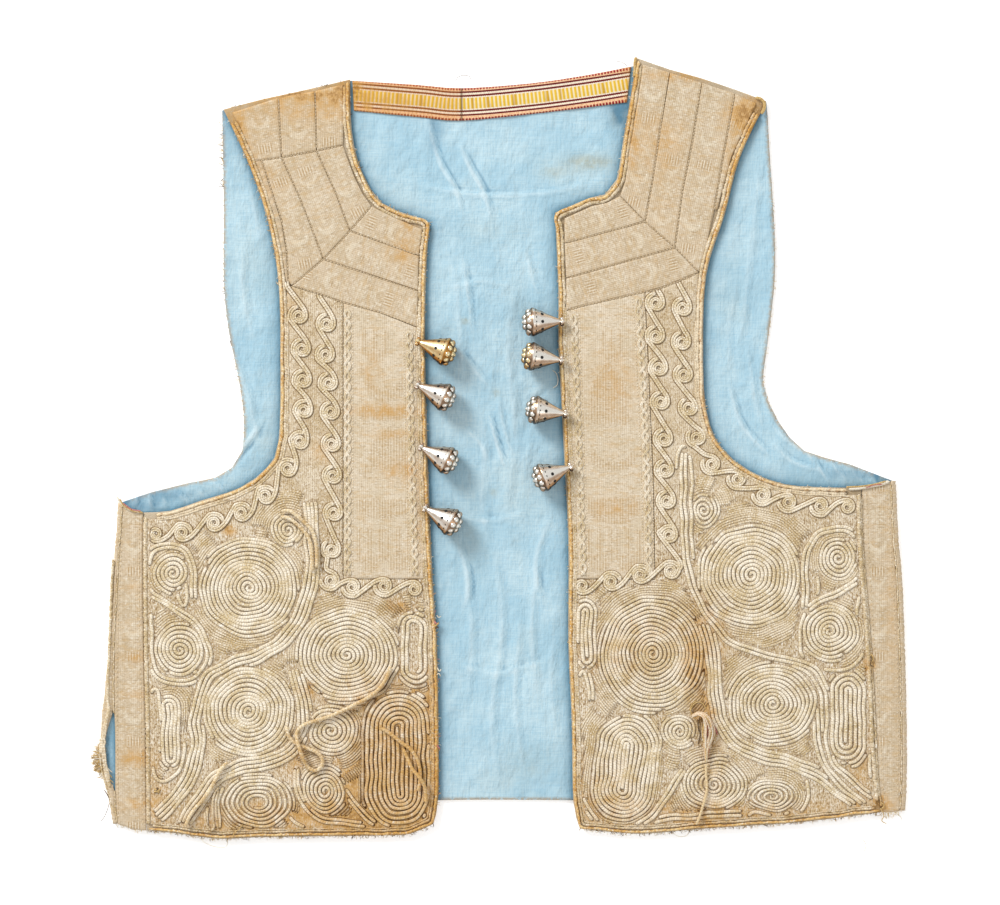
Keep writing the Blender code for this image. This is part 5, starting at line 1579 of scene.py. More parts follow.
RIGHT_RUNS = rows_of(Run, (
    (2, ((107.4, -2.7), (106.8, -31.5), (108, -58.5), (111, -78.3), (118.2, -95.1), (127.2, -108.3),
     (139.8, -119.1), (156.6, -124.5), (174, -128.1), (187.2, -134.7), (192.6, -145.5), (194.4, -158.7),
     (193.2, -173.7), (195.6, -185.1), (202.8, -195.3), (211.8, -202.5), (220.8, -209.7))),
    (1, ((103.2, -13.5), (103.2, -4.5), (106.8, 0.9), (111, -5.1), (111.6, -19.5), (111.6, -49.5),
     (113.4, -67.5))),
    (3, ((154.2, -129.3), (171, -132.9), (183, -140.1), (187.8, -154.5), (187.8, -171.3), (190.2, -184.5),
     (196.8, -195.3), (205.8, -204.3), (216.6, -213.3))),
    (4, ((119.4, -104.7), (123.6, -118.5), (125.4, -133.5), (126.6, -151.5), (130.2, -165.9),
     (139.8, -177.9), (153, -184.5), (168, -188.1), (181.8, -192.9), (193.8, -200.1), (204.6, -208.5),
     (214.2, -216.3))),
    (2, ((51, -152.7), (51, -139.5), (47.4, -132.9), (43.8, -139.5), (43.2, -175.5), (43.8, -199.5),
     (46.8, -212.7), (55.2, -224.1), (67.8, -228.9), (81.6, -225.9), (93, -215.1), (100.2, -203.1),
     (107.4, -192.3))),
    (1, ((180.6, -98.7), (177, -110.7), (178.8, -124.5), (187.8, -132.3), (204, -132.9), (214.2, -124.5),
     (217.2, -110.7), (216.6, -95.1), (214.2, -85.5), (211.2, -95.1), (211.8, -101.7))),
    (2, ((180, -98.7), (180, -67.5), (183.6, -56.7), (190.8, -50.1), (201, -48.3), (210, -52.5),
     (215.4, -63.3), (215.4, -73.5), (209.4, -81.9), (197.4, -88.5), (185.4, -93.9), (179.4, -101.1))),
    (1, ((187.8, -76.5), (187.2, -87.9), (184.8, -90.9), (182.4, -87.9))),
    (2, ((220.2, -152.7), (220.2, -187.5), (222, -200.7), (225, -187.5), (225, -154.5))),
    (2, ((142.2, -219.3), (117, -220.5), (94.2, -222.3), (85.8, -225.9))),
    (1, ((87, -229.5), (105, -228.9), (129, -227.7), (142.2, -225.9))),
    (1, ((171, -218.7), (159, -220.5), (149.4, -218.7), (145.2, -221.7), (149.4, -225.3), (163.8, -224.7),
     (175.8, -219.9), (181.8, -209.7), (180.6, -198.3))),
    (1, ((189, -218.7), (201, -221.1), (213, -222.3), (222.6, -218.7))),
))


def coil_points(coil, turn, wide, high):
    """Points round a coil's middle, with straight runs where the coil has a spine."""
    angle = math.radians(coil.start) + coil.way * 2 * math.pi * turn
    across = wide * np.cos(angle)
    up = high * np.sin(angle) + coil.spine * np.clip(np.sin(angle) * 8, -1, 1)
    lean = math.radians(coil.lean)
    x = coil.x + across * math.cos(lean) - up * math.sin(lean)
    y = coil.y + across * math.sin(lean) + up * math.cos(lean)
    return np.stack([x, y], axis=1)


def coil_line(coil):
    """The cord of a coil from its eye out. A hollow coil starts that many turns further out."""
    turn = np.linspace(EYE_TURN + coil.hollow, coil.turns, int(coil.turns * TURN_POINTS))
    share = (turn - 0.5) / coil.turns
    return resampled(coil_points(coil, turn, coil.wide * share, coil.high * share), COUCHED_STEP)


def outer_turns(coil, skipped, turns, gap, pitch):
    """More turns round a coil, as many points in each, the first one a gap outside the coil."""
    turn = coil.turns + skipped + np.arange(turns * TURN_POINTS) / TURN_POINTS
    growth = gap + pitch * (turn - coil.turns - skipped)
    last = (coil.turns - 0.5) / coil.turns
    return coil_points(coil, turn, coil.wide * last + growth, coil.high * last + growth)


def scroll_lines(centres):
    """Running scrolls: a cord pair leaves each scroll's far side, sweeps round the next and winds into it.

    Each line comes with its width, because the pair thins towards the eye, and with the line just outside it,
    where a dark strand lies as the cord's painted shadow.
    """
    centres = np.array(centres, float)
    before = np.concatenate([[2 * centres[0] - centres[1]], centres[:-1]])
    after = np.concatenate([centres[1:], [2 * centres[-1] - centres[-2]]])
    lines = []
    for previous, centre, following in zip(before, centres, after):
        way = unit(following - previous)
        left = np.array([-way[1], way[0]])
        turn = np.linspace(0, SCROLL_TURNS, SCROLL_POINTS)
        angle = math.atan2(left[1], left[0]) - 2 * math.pi * turn
        size = SCROLL_RADIUS + (SCROLL_EYE - SCROLL_RADIUS) * turn / SCROLL_TURNS
        eye = centre + left * SCROLL_SHIFT
        winding = eye + size[:, None] * np.stack([np.cos(angle), np.sin(angle)], axis=1)
        hug = np.radians(HUG_ANGLES)[:, None]
        leaving = previous + left * SCROLL_SHIFT - SCROLL_HUG * (np.cos(hug) * left + np.sin(hug) * way)
        coming = [eye + left * aside - way * short for aside, short in COMING]
        link = smooth(np.concatenate([leaving, coming, winding[:1]]), LINK_STEP)
        path = resampled(np.concatenate([link, winding[1:]]), SCROLL_STEP)
        marks = np.arange(len(path)) * SCROLL_STEP
        wound = np.clip((marks - line_length(link)) / line_length(winding), 0, 1)
        width = SCROLL_WIDTH - (SCROLL_WIDTH - SCROLL_THIN) * wound
        start = np.clip(marks / SCROLL_START, 0.0, 1.0)
        for side in (-1, 1):
            aside = normals(path) * (side * width * start)[:, None]
            lines.append((path + SCROLL_ASIDE * aside, width, path + SHADOW_LINE_REACH * aside))
    return lines


def run_lines(run):
    track = smooth(run.line, COUCHED_STEP)
    offsets = (np.arange(run.strands) - (run.strands - 1) / 2) * CORD_PITCH
    return [beside(track, offset) for offset in offsets]


def wavered(line):
    """A line drawn by hand: it drifts a little, together with its neighbours."""
    shift = np.stack([CORD_DRIFTS[0].at(line), CORD_DRIFTS[1].at(line)], axis=1)
    return line + WAVER_REACH * shift


class Laid:
    """The cords already sewn on, so that the next one stops short of them."""

    def __init__(self, loop):
        self.loop = loop
        self.points = np.empty((0, 2))
        self.widths = np.empty(0)

    def room(self, line, width):
        """Which points of a line have room for a cord of that width."""
        free = inside(line, self.loop) & (border_distance(line, self.loop) > BORDER_ROOM * width)
        tree = KDTree(len(self.points))
        for index, point in enumerate(self.points):
            tree.insert((*point, 0.0), index)
        tree.balance()
        for index in np.flatnonzero(free):
            _, found, gap = tree.find((*line[index], 0.0))
            free[index] = found is None or gap > CLOSEST * (width + self.widths[found]) / 2
        return free

    def sew(self, line, width, rise, free=None):
        """The stretches of a cord for which there is room, or all of them that free names."""
        width = np.broadcast_to(width, len(line))
        free = self.room(line, float(width.mean())) if free is None else free
        parts = []
        for stretch in np.split(np.arange(len(line)), np.flatnonzero(np.diff(free.astype(int))) + 1):
            long = len(stretch) >= FEWEST_POINTS and line_length(line[stretch]) >= LEAST_STRETCH
            if free[stretch[0]] and long:
                parts.append(couched_part(line[stretch], width[stretch], rise))
                self.points = np.concatenate([self.points, line[stretch]])
                self.widths = np.concatenate([self.widths, width[stretch]])
        return parts


def couched_part(line, width, rise):
    track = at_height(line, GROUND_TOP - CORD_SINK)
    swell = rise * (1 + CORD_SWELL * CORD_DRIFTS[2].at(line))
    section = COUCHED_OUTLINE[None] * np.stack([width, swell], axis=1)[:, None]
    return swept(track, section, taper=COUCHED_TAPER)


def coil_width(coil):
    pitch = min(coil.wide, coil.high) / coil.turns
    return min(WIDEST_CORD, max(THINNEST_CORD, TIGHT * pitch))


class Surround:
    """The turns that fill the cloth round a coil. Each way out from it ends at the first thing it meets."""

    def __init__(self, coil):
        self.coil = coil
        self.open = np.ones(TURN_POINTS, bool)
        self.skipped = 0
        self.reach = 0.0

    def fill(self, laid, turns, width, rise):
        line = wavered(outer_turns(self.coil, self.skipped, turns, self.reach, width))
        room = laid.room(line, width).reshape(turns, TURN_POINTS)
        if self.skipped == 0:
            room[0, :OVERLAP_POINTS] = True
        room = np.logical_and.accumulate(np.concatenate([self.open[None], room]))[1:]
        self.open = room[-1]
        self.skipped += turns
        self.reach += width * turns
        return laid.sew(line, width, rise, room.ravel())


def scroll_cords(side, scrolls, laid):
    """The cords of the running scrolls and the dark strands of painted shadow outside them, clear of the
    ribbons.
    """
    whole = moved_in(border_of(f"front_{side}"), SCROLL_MARGIN)
    ribbons = [border_of(row.name) for row in RIBBONS if row.name.endswith(side)]
    cords, threads = [], []
    for centres in scrolls:
        for line, width, shadow_line in scroll_lines(centres):
            free = inside(line, whole)
            for ribbon in ribbons:
                free &= ~inside(line, ribbon)
            cords.extend(laid.sew(line, width, SCROLL_RISE, free))
            if free.sum() >= FEWEST_POINTS:
                threads.append(swept(at_height(shadow_line[free], GROUND_TOP), SHADOW_LINE_SECTION,
                                     taper=COUCHED_TAPER))
    return cords, threads


def make_field(side, coils, scrolls, runs):
    loop = border_of(f"cordwork_{side}")
    ground = cloth_part(loop, TRIM_BASE, GROUND_TOP, GROUND_STEP, Upright(), ground_relief)
    calm = soft(ground.points[:, 1] - CALM_LEVEL, CALM_WIDTH)
    piece = mesh_piece(f"field_cloth_{side}", [ground], [FIELD_GROUND], f"cordwork_{side}",
                       {"calm": calm})
    laid = Laid(loop)
    # threads are the dark strands of painted shadow beside the scroll cords.
    scrolled, threads = scroll_cords(side, scrolls, laid)
    coiled, straight, fine = [], [], []
    for coil in coils:
        coiled.extend(laid.sew(wavered(coil_line(coil)), coil_width(coil), CORD_RISE))
    for run in runs:
        for line in run_lines(run):
            straight.extend(laid.sew(wavered(line), TIGHT * CORD_PITCH, CORD_RISE))
    surrounds = [Surround(coil) for coil in coils]
    for surround in surrounds:
        straight.extend(surround.fill(laid, EXTRA_TURNS, coil_width(surround.coil), EXTRA_RISE))
    for surround in surrounds:
        fine.extend(surround.fill(laid, MEANDER_TURNS, MEANDER_WIDTH, MEANDER_RISE))
    groups = (("couched_scrolls", scrolled, COUCHED_CORD, "cream_cord"),
              ("couched_coils", coiled, COUCHED_CORD, "cream_cord"),
              ("couched_runs", straight, COUCHED_CORD, "cream_cord"),
              ("couched_meanders", fine, FINE_CORD, "cream_cord"),
              ("scroll_outlines", threads, SHADOW_LINE_THREAD, "ochre_cord"))
    cords = [mesh_piece(f"{name}_{side}", parts, [material]) for name, parts, material, slot in groups]
    declare_sheet(loop, Upright())


def ground_relief(points):
    return 0.06 * GROUND_DRIFT.at(points)


# ---------------------------------------------------------------- edge cords and seams

EDGE_STEP = 0.9
EDGE_PLY = 3.6
EDGE_SIDES = 8
EDGE_DEPTH = 0.24
EDGE_TAPER = 1.5
# An ochre cord along the border and two pale strands beside it: inset, thickness and height.
EDGE_STRANDS = ((1.5, 2.1, 5.2), (3.45, 2.4, 4.6), (4.7, 1.3, 5.1))
LEAST_INSET = 4.0
STRAP_LEVEL = 84.0
HEM_LEVELS = (-216, -206)
EDGE_DRIFTS = (Drift(61, 14.0), Drift(67, 4.0))
# How far the edge cords waver in long and in short waves, and the seam cords in short ones.
EDGE_WAVERS = (0.22, 0.1, 0.2)
EDGE_SWELL = 0.12
HEM_SIZES = (0.7, 1.0)
EDGE_SPANS = (
    ("front_cord_left", "front_left", (-215, -230), (-93, 221)),
    ("armhole_cord_left", "front_left", (-169, 203), (-217, -39)),
    ("front_cord_right", "front_right", (79, 234), (226, -219)),
    ("armhole_cord_right", "front_right", (214, -24), (157, 208)),
)


def span(loop, start, end):
    """The points of a loop from the one nearest start, anticlockwise, to the one nearest end."""
    first = int(np.linalg.norm(loop - start, axis=1).argmin())
    last = int(np.linalg.norm(loop - end, axis=1).argmin())
    count = (last - first) % len(loop) + 1
    return loop[(first + np.arange(count)) % len(loop)]


def edge_parts(node, start, end, ends):
    """The strands sewn along a border; ends says how many of its points to leave out at each end."""
    parts = []
    for slot, (inset, thickness, height) in enumerate(EDGE_STRANDS):
        line = span(moved_in(border_of(node), inset), start, end)
        line = line[ends:len(line) - ends]
        if inset > LEAST_INSET:
            line = line[line[:, 1] < STRAP_LEVEL]
        track = at_height(smooth(line, EDGE_STEP), height)
        waver = EDGE_WAVERS[0] * EDGE_DRIFTS[0].at(track) + EDGE_WAVERS[1] * EDGE_DRIFTS[1].at(track)
        track[:, :2] += normals(track) * waver[:, None]
        section = plied_section(track, thickness / 2, EDGE_SIDES, EDGE_PLY, EDGE_DEPTH)
        size = np.interp(track[:, 1], HEM_LEVELS, HEM_SIZES) * (1 + EDGE_SWELL * EDGE_DRIFTS[1].at(track))
        parts.append(swept(track, section * size[:, None, None], min(slot, 1), EDGE_TAPER))
    return parts


def make_edge_cords():
    for name, node, start, end in EDGE_SPANS:
        parts = edge_parts(node, start, end, 1 if name.startswith("armhole") else 0)
        points = np.concatenate([part.points for part in parts])
        mesh_piece(name + "_look", parts, [EDGE_OCHRE, EDGE_PALE], name,
                   {"bleached": stain_at(points, BLEACHED)})


# Rows of small stitches along the seams between the ribbons, and beside the side panels.
RIBBON_SEAMS = {
    "left": (
        ((-136, 209), (-134, 174)),
        ((-114, 213), (-113, 178)),
        ((-150, 172), (-134, 174), (-113, 178), (-98, 181)),
        ((-146, 172.5), (-140, 154), (-134, 136), (-131, 118), (-130, 99)),
        ((-134, 174), (-124, 152), (-116, 132), (-109, 113)),
        ((-113, 178), (-102, 154), (-93, 130)),
        ((-81, 144), (-93, 130), (-109, 113), (-127, 98)),
        ((-93, 130), (-52.5, 115.5)),
        ((-109, 113), (-53, 94)),
        ((-127, 97), (-111, 92), (-97, 87), (-75, 81), (-53.5, 73)),
    ),
    "right": (
        ((98, 224), (93, 190), (88.5, 160), (84, 135.5)),
        ((117.5, 218), (112.5, 184), (106.5, 154), (102, 120)),
        ((137.5, 211), (130.5, 172), (125.5, 142)),
        ((70, 149.5), (84, 135.5), (102, 120), (116, 105.5)),
        ((84, 135.5), (37, 123)),
        ((102, 120), (38, 102)),
        ((38, 82), (45, 84.5), (69, 90), (84, 93.4), (93, 95.5), (115.5, 104.5)),
    ),
}
SIDE_SEAMS = (
    ((-216.9, -42), (-217, -92), (-215.6, -176), (-215.2, -228)),
    ((-219.5, -42), (-219.5, -92), (-218.2, -176), (-217.6, -228)),
    ((-229.5, -44), (-232, -100), (-233, -150), (-232, -224)),
    ((214.4, -27), (217.4, -92), (221.4, -152), (226, -217)),
    ((217, -27), (220, -92), (224, -152), (228, -216)),
    ((229.5, -27), (233.5, -92), (236, -152), (235.6, -215)),
)
STITCH = 1.7
STITCH_GAP = 0.4
STITCH_RADIUS = 0.28
STITCH_SECTION = round_section(STITCH_RADIUS, 5)
STITCH_LIFTS = np.array([-0.18, 0.06, 0.06, -0.18])
STITCH_PACE = 0.1
SIDE_GAP = 1.2


def stitch_parts(line, height, stitch=STITCH, gap=STITCH_GAP, section=STITCH_SECTION):
    """Short threads along a seam, each dipping into the cloth at both ends."""
    track = smooth(line, STITCH_PACE)
    parts = []
    for index in range(int(line_length(track) / (stitch + gap))):
        first = int(index * (stitch + gap) / STITCH_PACE)
        points = track[first:first + int(stitch / STITCH_PACE) + 1]
        if len(points) >= len(STITCH_LIFTS):
            points = points[np.linspace(0, len(points) - 1, len(STITCH_LIFTS)).astype(int)]
            parts.append(swept(at_height(points, height + STITCH_LIFTS), section))
    return parts


# Cords that close the seam between each field and its side panel, and cords rolled into the sides:
# where, how thick and how high above the table.
SEAM_CORDS = rows_of(SeamCord, (
    (((-215.6, -42), (-215.7, -92), (-214.9, -140), (-214.2, -176), (-213.8, -226)), 2.9, 4.7),
    (((212.6, -28), (212.4, -47), (214.4, -80), (216.2, -100), (219, -145), (220.6, -180), (223.4, -212)),
     2.9, 4.7),
    (((214, -30), (214, -48), (215, -66), (217, -90), (219.3, -120), (221, -147), (222.4, -175),
     (223.7, -200), (225.9, -216)), 1.7, 4.15),
))
ROLLED_EDGES = rows_of(SeamCord, (
    (((-229.8, -34), (-232, -68), (-233.3, -92), (-234.7, -116), (-235.1, -146), (-234.6, -160)), 1, 4),
    (((-234.2, -206), (-234, -216), (-233, -225)), 1, 4),
    (((231.5, -22), (233.4, -56), (235.4, -80), (236.7, -116), (237.7, -152), (238.1, -188), (237.7, -206),
     (237.1, -217)), 1, 4),
    (((-235.2, -67), (-236.4, -92), (-237.3, -115), (-237.9, -133), (-238.6, -146), (-238.2, -156),
     (-239, -163)), 1.9, 4),
    (((-237.5, -155), (-238.6, -162), (-241, -171), (-241.8, -179), (-240.8, -188), (-239, -197),
     (-236.8, -204)), 2.6, 4),
    (((-238.9, -164), (-240, -173), (-240.3, -181), (-239.3, -190), (-237, -199)), 1.2, 4.7),
    (((-242.4, -172), (-243.2, -181), (-242.4, -192), (-239.8, -202), (-236.6, -212), (-234.6, -220)),
     1.3, 3.6),
))


def make_seams():
    groups = (("side_seam_cords", SEAM_CORDS, EDGE_PALE), ("rolled_edge_cords", ROLLED_EDGES, ROLLED_CORD))
    for name, rows, material in groups:
        parts = []
        for row in rows:
            track = at_height(smooth(row.line, EDGE_STEP), row.height)
            track[:, :2] += normals(track) * EDGE_WAVERS[2] * EDGE_DRIFTS[1].at(track)[:, None]
            section = plied_section(track, row.thickness / 2, EDGE_SIDES, EDGE_PLY, PLY_DEPTH)
            parts.append(swept(track, section, taper=EDGE_TAPER))
        mesh_piece(name, parts, [material])
    for side, lines in RIBBON_SEAMS.items():
        parts = [part for line in lines for part in stitch_parts(line, RIBBON_TOP)]
        mesh_piece(f"ribbon_stitches_{side}", parts, [SEAM_THREAD])
    parts = [part for line in SIDE_SEAMS for part in stitch_parts(line, FRONT_TOP + 0.02, gap=SIDE_GAP)]
    mesh_piece("side_stitches", parts, [SEAM_THREAD])


# ---------------------------------------------------------------- frays and loose threads

THREAD_KINDS = ("white", "ochre", "rose", "dark", "cream")
THREAD_STEP = 0.5
THREAD_TAPER = 0.8
THREADS = rows_of(Thread, (
    ("white", 0.22, ((28.2, 46.5, 3.4), (30.6, 44.7, 3.4), (31.8, 41.1, 3.4), (31.2, 37.5, 3.4),
     (28.8, 35.7, 3.4))),
    ("white", 0.20, ((-183, -234.3, 4.2), (-180, -237.3, 3.6), (-174.6, -239.7, 3), (-168.6, -240.3, 2.4),
     (-166.8, -237.9, 1.8), (-167.4, -234.3, 1.2))),
    ("white", 0.20, ((100.2, -229.5, 4.2), (101.4, -231.9, 3.5), (105, -233.7, 2.7), (109.2, -233.1, 2),
     (111, -230.1, 1.2))),
    ("dark", 0.16, ((-30, 219.9, 3.6), (-28.2, 222.3, 3.5), (-25.2, 223.5, 3.4), (-21.6, 222.9, 3.3),
     (-20.4, 221.1, 3.2))), ("dark", 0.14, ((73.8, 228.9, 3.6), (70.2, 231.3, 3.4), (66.6, 231.9, 3.2))),
    ("dark", 0.28, ((-240.6, -205.5, 3.6), (-238.8, -208.5, 3.6), (-237, -212.1, 3.6),
     (-235.2, -216.3, 3.6))),
    ("dark", 0.18, ((-237.6, -213.3, 3.4), (-238.8, -217.5, 2.9), (-240.6, -221.7, 2.5),
     (-243, -224.7, 2))),
    ("ochre", 0.30, ((-163.8, -234.3, 6.6), (-162, -230.7, 6.4), (-159.6, -228.9, 6.2),
     (-157.2, -225.9, 6))),
    ("ochre", 0.6, ((-210.4, -204.6, 5.6), (-208.6, -205.8, 6), (-207.2, -207.2, 5.6))),
    ("dark", 0.5, ((-209.9, -207.3, 5.6), (-208.8, -205.8, 6.1), (-208.4, -203.8, 5.6))),
    ("ochre", 0.5, ((-210.8, -206.2, 5.6), (-208.9, -206.4, 6.1), (-206.8, -205, 5.6))),
    ("ochre", 0.24, ((-239.4, -194.8, 4.6), (-237.4, -196.2, 4.4), (-235.8, -198.4, 4.2))),
    ("white", 0.24, ((-239.8, -190.2, 4.6), (-237.8, -193.2, 4.4), (-235.6, -195, 4.2))),
    ("ochre", 0.24, ((-238.6, -198.4, 4.6), (-236.8, -199.6, 4.4), (-235, -201.4, 4.2))),
    ("ochre", 0.34, ((111, -158.1, 6.4), (112.8, -154.5, 6.2), (115.8, -152.7, 6), (118.8, -153.9, 5.8),
     (120.6, -156.9, 5.6))),
    ("ochre", 0.30, ((113.4, -161.1, 6.6), (111, -157.5, 6.3), (112.2, -153.9, 5.9), (115.2, -151.5, 5.6))),
    ("rose", 0.40, ((124.6, -166.2, 6.6), (126.4, -169.4, 6.4), (127.4, -172.4, 6))),
    ("rose", 0.34, ((122.6, -180.6, 6.8), (121.8, -183.6, 6.6), (121.4, -187, 6.4))),
    ("cream", 0.75, ((-180, -218.7, 6), (-179.4, -224.7, 6.2), (-177, -229.1, 6), (-174.6, -227.9, 6.4),
     (-175.2, -220.5, 6.6), (-175.2, -212.7, 6.6), (-174, -207.3, 6.6), (-171.6, -203.7, 6.4))),
    ("cream", 0.7, ((-172.2, -228.3, 6), (-173.2, -218.7, 6.4), (-173.2, -211.5, 6.4),
     (-171.8, -205.5, 6.4))),
    ("dark", 0.30, ((117, -161.1, 6.8), (115.8, -166.5, 6.4), (117, -172.5, 6), (115.8, -177.9, 5.6))),
    ("ochre", 0.50, ((-231, -30.9, 5.4), (-228.6, -35.1, 5.3), (-223.2, -38.1, 5.1), (-217.2, -39, 5))),
    ("rose", 0.36, ((-229.2, -33.3, 5.7), (-224.4, -36.9, 5.5), (-218.4, -38.1, 5.3))),
    ("white", 0.7, ((-232.8, -29.7, 4.8), (-230.4, -33.3, 4.8), (-226.2, -36.9, 4.8), (-219.2, -39, 4.8))),
    ("white", 1, ((206.2, -24.9, 4.6), (212.2, -24.5, 4.6), (218.6, -23.3, 4.6), (225, -22.2, 4.6),
     (230.6, -20.4, 4.2))),
    ("ochre", 0.5, ((204.6, -23.7, 5.2), (213.6, -23.3, 5.3), (222, -22, 5.3), (228.4, -20.2, 5.2))),
    ("rose", 0.3, ((216.6, -24.1, 5.5), (221, -22.6, 5.6), (226.4, -22, 5.5))),
    ("ochre", 0.95, ((150.2, 209.9, 5.2), (153.4, 209.1, 5.3), (155.6, 206.5, 5.2), (155.4, 203.1, 5.1),
     (153.8, 200.1, 5))),
    ("ochre", 0.95, ((78.6, 234.3, 5), (78, 230.7, 5), (78, 226.5, 5), (77.4, 222.3, 5))),
    ("rose", 0.5, ((-42.6, -104, 5.6), (-41.4, -105.4, 6.2), (-40, -106.2, 5.4))),
    ("ochre", 0.5, ((-42.4, -107.6, 5.6), (-41, -106.4, 6.3), (-39.6, -105, 5.4))),
    ("dark", 0.4, ((-41.9, -108.6, 5.6), (-40.7, -107.6, 6), (-39.8, -108.4, 5.2))),
    ("white", 0.3, ((-41, -100.6, 5.4), (-39.7, -102, 5), (-38.4, -101.2, 4.4))),
    ("white", 0.4, ((-40.6, -132, 5.8), (-39.4, -134.2, 5.6), (-38.3, -133, 5))),
    ("white", 0.32, ((-41, -136.4, 5.6), (-39.6, -135.6, 5.4), (-38.6, -137.4, 4.8))),
    ("rose", 0.4, ((-41.2, -178, 5.8), (-40, -179.6, 5.9), (-38.9, -181, 5.2))),
    ("white", 0.22, ((214.2, -234.3, 5.6), (216.6, -238.5, 4.9), (215.4, -242.7, 4.2))),
    ("white", 0.20, ((232.8, -218.7, 5.6), (237, -221.1, 5.1), (238.2, -225.3, 4.7), (235.2, -227.1, 4.2))),
    ("ochre", 0.26, ((225, -216.3, 5), (227.4, -220.5, 4.5), (226.2, -224.1, 4.1), (229.2, -225.9, 3.6))),
    ("dark", 0.22, ((217.8, -124.5, 5.4), (220.2, -126.9, 5.3), (219, -129.9, 5.3), (221.4, -131.7, 5.2))),
    ("ochre", 0.40, ((217.8, -125.7, 5.2), (220.2, -124.5, 5.1), (220.8, -127.5, 5.1), (218.4, -129.3, 5))),
    ("ochre", 0.40, ((225.6, -212.7, 5.2), (227.4, -215.1, 5.1), (225.6, -216.9, 5))),
))
# Borders with frayed threads: piece, first and last point, height, how many, how long.
FRAYS = rows_of(Fray, (
    ("back_lining", (-171, 203), (-153, 8), 2.2, 80, 1.3, (0, 0, 1, 3)),
    ("back_lining", (-169, 190), (-168, 160), 2.2, 26, 2.6, (1, 3, 1)),
    ("back_lining", (166, 12), (152, 199), 2.2, 60, 1.2, (0, 0, 1)),
    ("front_left", (-215, -230), (-45, -226), 4.4, 260, 1.5, (0, 1, 4, 3)),
    ("front_left", (-42, -220), (-46, -85), 4.8, 60, 1.3, (1, 1, 2, 0)),
    ("front_left", (-46, -85), (-46.4, 121), 4.8, 30, 1, (1, 0, 1)),
    ("front_left", (-46.4, 121), (-91, 185), 4.8, 24, 1.3, (1, 0, 3)),
    ("front_left", (-93, 200), (-169, 203), 4.4, 22, 1.3, (1, 0, 3)),
    ("front_left", (-169, 203), (-136, 98), 4.8, 40, 1.4, (1, 1, 0)),
    ("front_right", (45, -229), (226, -219), 4.4, 280, 1.5, (0, 1, 4, 3)),
    ("front_right", (79, 234), (45, 147), 4.8, 24, 1, (1, 0)),
    ("front_right", (31, 120), (40, -180), 4.8, 40, 1, (1, 1, 0)),
    ("front_right", (214, -24), (120, 30), 4.8, 26, 1, (1, 0)),
    ("side_band_right", (226, -219), (237, -218), 3.4, 40, 3, (0, 0, 1)),
    ("side_band_left", (-233, -226), (-216, -230), 3.4, 26, 1.8, (0, 1)),
))
FRAY_SECTION = round_section(0.15, 4)
TUFT_SECTION = round_section(0.24, 5)
TUFT_KINDS = (1, 1, 1, 0, 4)


def fray_parts(row, chance):
    """Short fibres that stand out from a border at odd angles."""
    line = resampled(span(border_of(row.node), row.start, row.end), 1.0)
    outward = -normals(line)
    share = np.linspace(-0.35, 1, 6)
    parts = []
    for _ in range(row.count):
        index = chance.integers(len(line))
        way = math.atan2(outward[index][1], outward[index][0]) + chance.normal(0, 0.8)
        bent = way + chance.normal(0, 0.7) * share
        length = row.length * chance.uniform(0.5, 1.5)
        ahead = length * share[:, None] * np.stack([np.cos(bent), np.sin(bent)], axis=1)
        track = at_height(line[index] + ahead, row.height + chance.normal(0, 0.25) * share - 0.4 * share)
        parts.append(swept(track, FRAY_SECTION, int(chance.choice(row.kinds)), THREAD_TAPER))
    return parts


# The tuft of fibres that stands out of the open left side.
TUFT_MIDDLE = np.array([-241.6, -187.0, 3.0])
TUFT_SPREAD = np.array([1.2, 9.0, 0.8])
TUFT_COUNT = 420
TUFT_WAY = math.pi + 0.3
TUFT_HEIGHT = 9.0


def tuft_parts(chance):
    """The tuft's fibres: longest in its middle, each one bent a little to one side."""
    share = np.linspace(0, 1, 7)[:, None]
    parts = []
    for _ in range(TUFT_COUNT):
        start = TUFT_MIDDLE + TUFT_SPREAD * chance.normal(0, 0.5, 3)
        way = TUFT_WAY + chance.normal(0, 0.5)
        length = chance.uniform(3.0, 7.0) * math.exp(-((start[1] - TUFT_MIDDLE[1]) / TUFT_HEIGHT) ** 2)
        ahead = np.array([math.cos(way), math.sin(way), 0.0])
        aside = np.array([-ahead[1], ahead[0], 0.0])
        track = start + ahead * length * share + aside * chance.normal(0, 1.6) * share ** 2
        parts.append(swept(track, TUFT_SECTION, int(chance.choice(TUFT_KINDS)), FIBRE_TAPER))
    return parts


def make_threads():
    materials = [WHITE_THREAD, OCHRE_FIBRE, ROSE_FIBRE, DARK_THREAD, EDGE_PALE]
    parts = [swept(smooth(row.line, THREAD_STEP), round_section(row.radius, 6), THREAD_KINDS.index(row.kind),
                   THREAD_TAPER) for row in THREADS]
    mesh_piece("loose_threads", parts, materials)
    chance = np.random.default_rng(89)
    parts = [part for row in FRAYS for part in fray_parts(row, chance)]
    parts.extend(tuft_parts(chance))
    mesh_piece("frayed_fibres", parts, materials)


# ---------------------------------------------------------------- buttons

BUTTON_RIM = 19.8
BUTTON_RADIUS = 8.7
BUTTON_TIP_HEIGHT = 9.6
SETTLING_STEPS = 20
BUTTONS = rows_of(ButtonRow, (
    ("button_left_1", -54, 64, -35, 57, GILT, GILT), ("button_left_2", -54, 38, -36, 30, SILVER, SILVER),
    ("button_left_3", -52, 1, -34, -8, SILVER, SILVER),
    ("button_left_4", -49.5, -35.5, -31.5, -45, SILVER, SILVER),
    ("button_right_1", 36, 75.5, 16, 75, SILVER, SILVER),
    ("button_right_2", 35.5, 52, 16, 54.5, SILVER, GILT),
    ("button_right_3", 38, 20, 18, 22.5, SILVER, SILVER),
    ("button_right_4", 41, -11, 22.5, -18, SILVER, SILVER),
))
